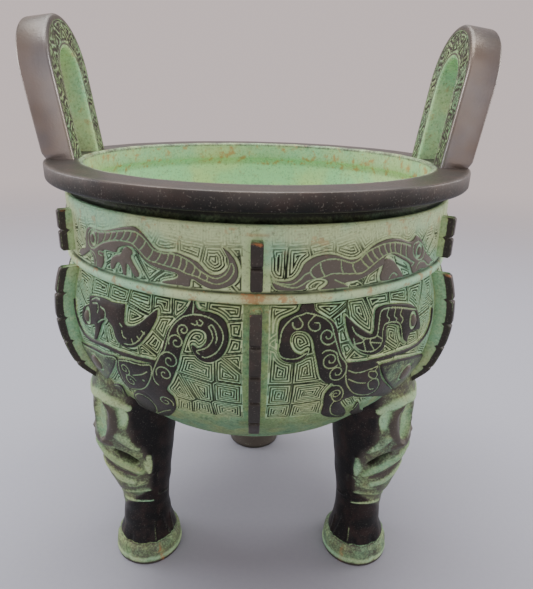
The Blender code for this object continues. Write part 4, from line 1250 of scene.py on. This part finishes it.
def mask_gap(x, level, points):
    """Distance from a stroke of the mask, on the leg unrolled by its angle."""
    path = np.array(points, float)
    path[:, 0] *= math.radians(1) * MASK_TURN
    return stroke_field(x, level, curve_through(path, 5), 4.0)


def mask_relief(turned, level, fade):
    """The mask at angles in degrees and levels: height in millimetres, patina, crest, tone, slot.

    The height is the sum of the strokes' soft-edged rises, faded out towards the bowl, less the
    slot of the mouth. Each stroke also paints its own patina and crest over what is there.
    """
    x = np.radians(turned) * MASK_TURN
    reach = np.interp(level, (24, 36, 44, 58, 62, 72, 80), (0, 84, 84, 74, 60, 56, 60))
    masked = smooth(8.0, -8.0, turned - reach)
    carved = np.zeros(level.shape)
    patina = 0.05 + 0.36 * masked
    crest = np.zeros(level.shape)
    for points, rise, green, pale in MASK_STROKES:
        gap = mask_gap(x, level, points)
        carved += MASK_RISE * rise * (1 - smooth(-1.0, 0.8, gap)) * fade
        core = 1 - smooth(-0.9, 0.6, gap)
        patina = patina * (1 - core) + 0.72 * green * core
        crest = crest * (1 - core) + 0.7 * pale * core
    slot = 1 - smooth(-0.6, 0.25, mask_gap(x, level, MASK_SLOT))
    return carved - MASK_SLOT_DEPTH * slot, patina, crest, 0.65 * masked, slot


def leg_piece(number, shape, material):
    """A leg: rings from its flat hoof up into the bowl, with the mask carved on its outer side.

    The hoof has grooves between its toes and green edges, and the rear leg's is plainer.
    """
    azimuth = math.pi + 2 * math.pi * number / LEGS
    columns, rows = LEG_MESH_REAR if number == 0 else LEG_MESH_FRONT
    turn = np.linspace(-1, 1, columns, endpoint=False)
    angle = np.pi * (0.72 * turn + 0.28 * turn**3)
    top = leg_top(angle)
    level = np.linspace(0, 1, rows)[:, None] * (top + 1.2)[None, :]
    angle = np.broadcast_to(angle, level.shape)
    turned = np.abs(np.degrees(angle))
    fade = smooth(0.0, 4.0, top[None, :] + 1 - level)
    carved, patina, crest, tone, slot = mask_relief(turned, level, fade)

    hoof = 1 - smooth(HOOF_HEIGHT - 0.2, HOOF_HEIGHT + 1.0, level)
    toes = sum(np.exp(-(((turned - place) / 5) ** 2)) for place in TOE_ANGLES)
    toes = toes * smooth(0.5, 2.0, level) * (1 - smooth(HOOF_HEIGHT + 1, HOOF_HEIGHT + 6, level))
    low_edge = np.exp(-(((level - 2.6) / 1.1) ** 2))
    top_edge = np.exp(-(((level - HOOF_HEIGHT - 0.6) / 0.5) ** 2))
    sole = 1 - smooth(0.3, 1.6, level)
    patina = np.maximum(patina, np.maximum(hoof * 0.48, np.maximum(low_edge * 0.95, top_edge * 0.55)))
    patina = patina * (1 - 0.9 * sole) * (1 - hoof * (0.7 if number == 0 else 0.0))
    # Painted shade in the mouth's slot and a painted shadow along the bottom of the hoof, where it meets
    # the floor.
    finish = finish_values(
        level.shape, patina=patina, groove_and_shade=np.maximum(slot, 0.55 * sole),
        crest=np.maximum(crest, low_edge * 0.5), rust=0.75 * hoof * np.exp(-(((turned - 92) / 9) ** 2)),
        tone=np.maximum(tone, hoof * 0.8))
    finish = {key: np.append(values.ravel(), [0.0, 0.0]) for key, values in finish.items()}

    radius = leg_form(angle, level) + (carved - TOE_DEPTH * toes)
    points = facing(azimuth, LEG_CIRCLE + radius * np.cos(angle), radius * np.sin(angle), level)
    uneven = shape.unevenness * ripple(points, 9.0, 11 + number) * smooth(1.0, 4.0, level)
    points = points + uneven[..., None] * facing(azimuth, np.cos(angle), 0.0, 0.0)
    count = rows * columns
    ends = facing(azimuth, LEG_CIRCLE, 0.0, np.array([0.0, belly_level(LEG_CIRCLE) + 1.5]))
    ring = np.arange(columns)
    faces = [grid_quads(rows, columns, close_columns=True),
             fan(ring, count, flip=True), fan(ring + count - columns, count + 1)]
    return new_piece(f"leg_{number}", np.vstack([points.reshape(-1, 3), ends]), faces, finish, material)


def number_property(name, description, default, **more):
    """A number that the user can set."""
    return bpy.props.FloatProperty(name=name, description=description, default=default, **more)


def colour_property(name, description, default):
    """A colour that the user can set."""
    return bpy.props.FloatVectorProperty(
        name=name, description=description, default=default, size=3, subtype="COLOR", min=0.0, max=1.0)


class DingShape(bpy.types.PropertyGroup):
    """Sizes of the relief, in millimetres."""

    front_step: number_property("Front step", "Spacing of the mesh on the front panels", 0.22, min=0.15)
    back_step: number_property("Side step", "Spacing of the mesh on the other panels", 0.48, min=0.2)
    bowl_columns: bpy.props.IntProperty(
        name="Bowl columns", description="Steps round the bowl", default=216, min=60)
    dragon_height: number_property("Dragon height", "How far the dragons stand off the wall", 0.9)
    beast_height: number_property("Beast height", "How far the beast faces stand off the wall", 1.0)
    eye_radius: number_property("Eye radius", "Radius of a beast's eye", 2.9)
    line_pitch: number_property("Line pitch", "Spacing of the ground's lines in front", 0.80, min=0.5)
    side_pitch: number_property(
        "Side line pitch", "Spacing of the ground's lines elsewhere", 1.45, min=0.8)
    ground_depth: number_property("Ground depth", "Depth of the ground's lines", 0.32)
    cut_width: number_property("Cut width", "Width of the lines cut into the figures", 0.34)
    cut_depth: number_property("Cut depth", "Depth of the lines cut into the figures", 0.28)
    unevenness: number_property(
        "Unevenness", "How far the cast surface strays from its true shape", 0.16)


class DingFinish(bpy.types.PropertyGroup):
    """Colours and gloss of the bronze and its patina."""

    bronze_dark: colour_property("Dark bronze", "Legs and flanges", (0.009, 0.009, 0.009))
    bronze_warm: colour_property("Warm bronze", "Browner patches on dark bronze", (0.028, 0.018, 0.016))
    bronze_dusty: colour_property(
        "Dusty bronze", "Raised figures of the upper band", (0.125, 0.113, 0.094))
    bronze_polished: colour_property("Polished bronze", "Rim and ears", (0.19, 0.185, 0.19))
    bronze_brown: colour_property(
        "Brown bronze", "Browner patches of the rim and ears", (0.24, 0.195, 0.16))
    bronze_worn: colour_property("Worn bronze", "Bare spots of the rim and ears", (0.36, 0.33, 0.31))
    bronze_dust: colour_property("Dust", "Pale specks on the metal", (0.22, 0.21, 0.18))
    patina_green: colour_property("Green patina", "Most of the ground", (0.20, 0.33, 0.14))
    patina_aqua: colour_property("Aqua patina", "Clouds in the ground", (0.16, 0.35, 0.20))
    patina_yellow: colour_property("Yellow patina", "Yellow-green stains", (0.36, 0.41, 0.15))
    patina_deep: colour_property("Deep patina", "Darker green blotches", (0.065, 0.115, 0.060))
    patina_pale: colour_property(
        "Pale patina", "Tops of the ground's lines and dry grain", (0.65, 0.80, 0.45))
    patina_chalk: colour_property("Chalky patina", "Pale patina where it is bluer", (0.42, 0.78, 0.52))
    # Painted shade: the near-black colour that groove_and_shade mixes in.
    painted_shade_dark: colour_property("Groove", "Depths of the lines", (0.009, 0.013, 0.007))
    rust: colour_property("Rust", "Orange stains", (0.46, 0.20, 0.08))
    patina_roughness: number_property(
        "Patina roughness", "Roughness of the patina", 0.75, subtype="FACTOR")
    bronze_roughness: number_property(
        "Bronze roughness", "Roughness of the raised bronze", 0.42, subtype="FACTOR")
    polish_roughness: number_property(
        "Polish roughness", "Roughness of the rim and ears", 0.30, subtype="FACTOR")


class DingStage(bpy.types.PropertyGroup):
    """Floor, light and camera."""

    floor_colour: colour_property("Floor", "Pale floor", (0.31, 0.325, 0.39))
    floor_clouds: colour_property("Floor clouds", "Paler clouds of the floor", (0.42, 0.42, 0.46))
    sky_colour: colour_property("Surround", "Colour of the surround", (0.74, 0.63, 0.62))
    sky_strength: number_property("Surround strength", "Light of the surround", 1.0)
    key_power: number_property("Key light", "Soft light from above", 9.0, unit="POWER")
    fill_power: number_property("Fill light", "Soft light from each side", 2.5, unit="POWER")
    front_power: number_property(
        "Front light", "Soft light from behind the camera", 2.4, unit="POWER")
    camera_distance: number_property(
        "Camera distance", "Camera in front of the axis", 0.20026, unit="LENGTH")
    camera_rise: number_property(
        "Camera rise", "Camera above the rim's top", 0.02144, unit="LENGTH")
    camera_pitch: number_property(
        "Camera pitch", "How far the camera looks down", 0.363609, subtype="ANGLE")
    camera_roll: number_property(
        "Camera roll", "How far the camera is tipped sideways", -0.025133, subtype="ANGLE")
    camera_yaw: number_property(
        "Camera yaw", "How far the camera is turned sideways", -0.020884, subtype="ANGLE")
    camera_lens: number_property(
        "Focal length", "For a frame 36 mm tall", 31.783, subtype="DISTANCE_CAMERA")


def the_bronze():
    """The bronze, made once."""
    name = f"{SLOT}_cast"
    found = bpy.data.materials.get(name)
    if found is None:
        found = bronze(bpy.context.scene.ding_finish)
        found.name = name
    return found


class DING_OT_bowl(bpy.types.Operator):
    """Builds the bowl with its rim"""

    bl_idname = "ding.bowl"
    bl_label = "Bowl"

    def execute(self, context):
        bowl_piece(context.scene.ding_shape, the_bronze())
        return {"FINISHED"}


class DING_OT_frieze(bpy.types.Operator):
    """Builds the six panels of dragons and the six of beast faces"""

    bl_idname = "ding.frieze"
    bl_label = "Frieze"

    def execute(self, context):
        for sector in range(SECTORS):
            for lower in (False, True):
                frieze_piece(sector, lower, context.scene.ding_shape, the_bronze())
        return {"FINISHED"}


class DING_OT_flanges(bpy.types.Operator):
    """Builds the notched flanges"""

    bl_idname = "ding.flanges"
    bl_label = "Flanges"

    def execute(self, context):
        flanges_piece(the_bronze())
        return {"FINISHED"}


class DING_OT_ears(bpy.types.Operator):
    """Builds the two ears"""

    bl_idname = "ding.ears"
    bl_label = "Ears"

    def execute(self, context):
        for side in (0, 1):
            ear_piece(side, the_bronze())
        return {"FINISHED"}


class DING_OT_legs(bpy.types.Operator):
    """Builds the three legs with their masks"""

    bl_idname = "ding.legs"
    bl_label = "Legs"

    def execute(self, context):
        for number in range(LEGS):
            leg_piece(number, context.scene.ding_shape, the_bronze())
        return {"FINISHED"}


class DING_OT_stage(bpy.types.Operator):
    """Builds the floor, the lights and the camera"""

    bl_idname = "ding.stage"
    bl_label = "Stage"

    def execute(self, context):
        stage = context.scene.ding_stage
        make_floor(stage)
        make_lights(stage)
        make_camera(stage)
        return {"FINISHED"}


def make_floor(stage):
    """A pale floor that fades into the surround away from the vessel."""
    shader = Shader("pale_floor")
    distance = shader.node("ShaderNodeVectorMath", {"operation": "LENGTH"}, {0: shader.place}, "Value")
    soft = shader.noise(2.0, 3.0)
    shade = shader.mix(soft * 0.25, stage.floor_colour, stage.floor_clouds)
    shader.feed(shader.surface.inputs["Base Color"], shade)
    shader.surface.inputs["Roughness"].default_value = 0.9
    clear = shader.nodes.new("ShaderNodeBsdfTransparent")
    fading = shader.node("ShaderNodeMixShader", inputs={
        0: shader.step(0.25, 1.1, distance), 1: Value(shader, shader.surface.outputs[0]),
        2: Value(shader, clear.outputs[0])})
    shader.links.new(fading.output, shader.nodes["Material Output"].inputs["Surface"])
    corners = [(FLOOR_REACH * x, FLOOR_REACH * y, 0) for x, y in ((-1, -1), (1, -1), (1, 1), (-1, 1))]
    mesh = bpy.data.meshes.new("floor")
    mesh.from_pydata(corners, [], [(0, 1, 2, 3)])
    mesh.materials.append(shader.material)
    floor = bpy.data.objects.new("floor", mesh)
    bpy.context.scene.collection.objects.link(floor)


def area_light(name, power, size, place, tint):
    """A square soft light that faces the vessel's middle."""
    light = bpy.data.lights.new(name, "AREA")
    light.energy = power
    light.size = size
    light.color = tint
    holder = bpy.data.objects.new(name, light)
    aim = np.array(place) - LIGHT_TARGET
    aim /= np.linalg.norm(aim)
    side = np.cross((0.0, 0.0, 1.0), aim)
    side /= np.linalg.norm(side)
    up = np.cross(aim, side)
    turn = Matrix([[side[i], up[i], aim[i]] for i in range(3)]).to_4x4()
    holder.matrix_world = Matrix.Translation(place) @ turn
    bpy.context.scene.collection.objects.link(holder)


def make_lights(stage):
    """An even pale surround, a large soft light overhead, and weaker ones in front and at both sides."""
    world = bpy.data.worlds.new("surround")
    world.use_nodes = True
    sky = world.node_tree.nodes["Background"]
    sky.inputs["Color"].default_value = colour(stage.sky_colour)
    sky.inputs["Strength"].default_value = stage.sky_strength
    bpy.context.scene.world = world
    for name, power, size, place, tint in (
        ("key", stage.key_power, 0.6, (-0.05, 0.12, 0.75), (1.0, 0.99, 0.95)),
        ("left_fill", stage.fill_power, 0.4, (-0.75, 0.15, 0.35), (0.97, 0.98, 1.0)),
        ("front_fill", stage.front_power, 1.2, (0.1, -1.1, 0.5), (1.0, 0.98, 0.98)),
        ("right_fill", stage.fill_power, 0.4, (0.75, 0.15, 0.35), (1.0, 0.97, 0.93)),
    ):
        area_light(name, power, size, place, tint)


def make_camera(stage):
    """The camera at the photograph's place and angle."""
    lens = bpy.data.cameras.new("camera")
    lens.sensor_fit = "VERTICAL"
    lens.sensor_height = 36.0
    lens.lens = stage.camera_lens
    lens.clip_start = 0.01
    camera = bpy.data.objects.new("camera", lens)
    turn = Matrix.Rotation(stage.camera_yaw, 4, "Z") @ Matrix.Rotation(-stage.camera_pitch, 4, "X")
    turn = turn @ Matrix.Rotation(stage.camera_roll, 4, "Y") @ Matrix.Rotation(math.pi / 2, 4, "X")
    place = (0.0, -stage.camera_distance, stage.camera_rise + RIM_TOP * MM)
    camera.matrix_world = Matrix.Translation(place) @ turn
    bpy.context.scene.collection.objects.link(camera)
    bpy.context.scene.camera = camera


class DING_PT_sidebar(bpy.types.Panel):
    """Sizes, colours and the steps of the build"""

    bl_idname = "DING_PT_sidebar"
    bl_label = "Ding"
    bl_space_type = "VIEW_3D"
    bl_region_type = "UI"
    bl_category = "Ding"

    def draw(self, context):
        for group in (context.scene.ding_shape, context.scene.ding_finish, context.scene.ding_stage):
            box = self.layout.box()
            for name in group.__annotations__:
                box.prop(group, name)
        for name in STEPS:
            self.layout.operator(f"ding.{name}")


STEPS = ("stage", "bowl", "frieze", "flanges", "ears", "legs")
CLASSES = (
    DingShape, DingFinish, DingStage, DING_OT_stage, DING_OT_bowl, DING_OT_frieze, DING_OT_flanges,
    DING_OT_ears, DING_OT_legs, DING_PT_sidebar,
)


def register():
    """Adds the classes and their settings to Blender."""
    for each in CLASSES:
        bpy.utils.register_class(each)
    bpy.types.Scene.ding_shape = bpy.props.PointerProperty(type=DingShape)
    bpy.types.Scene.ding_finish = bpy.props.PointerProperty(type=DingFinish)
    bpy.types.Scene.ding_stage = bpy.props.PointerProperty(type=DingStage)


def unregister():
    """Takes them out again."""
    del bpy.types.Scene.ding_stage
    del bpy.types.Scene.ding_finish
    del bpy.types.Scene.ding_shape
    for each in reversed(CLASSES):
        bpy.utils.unregister_class(each)


def main():
    """Builds every piece."""
    register()
    for name in STEPS:
        getattr(bpy.ops.ding, name)()


if __name__ == "__main__":
    main()
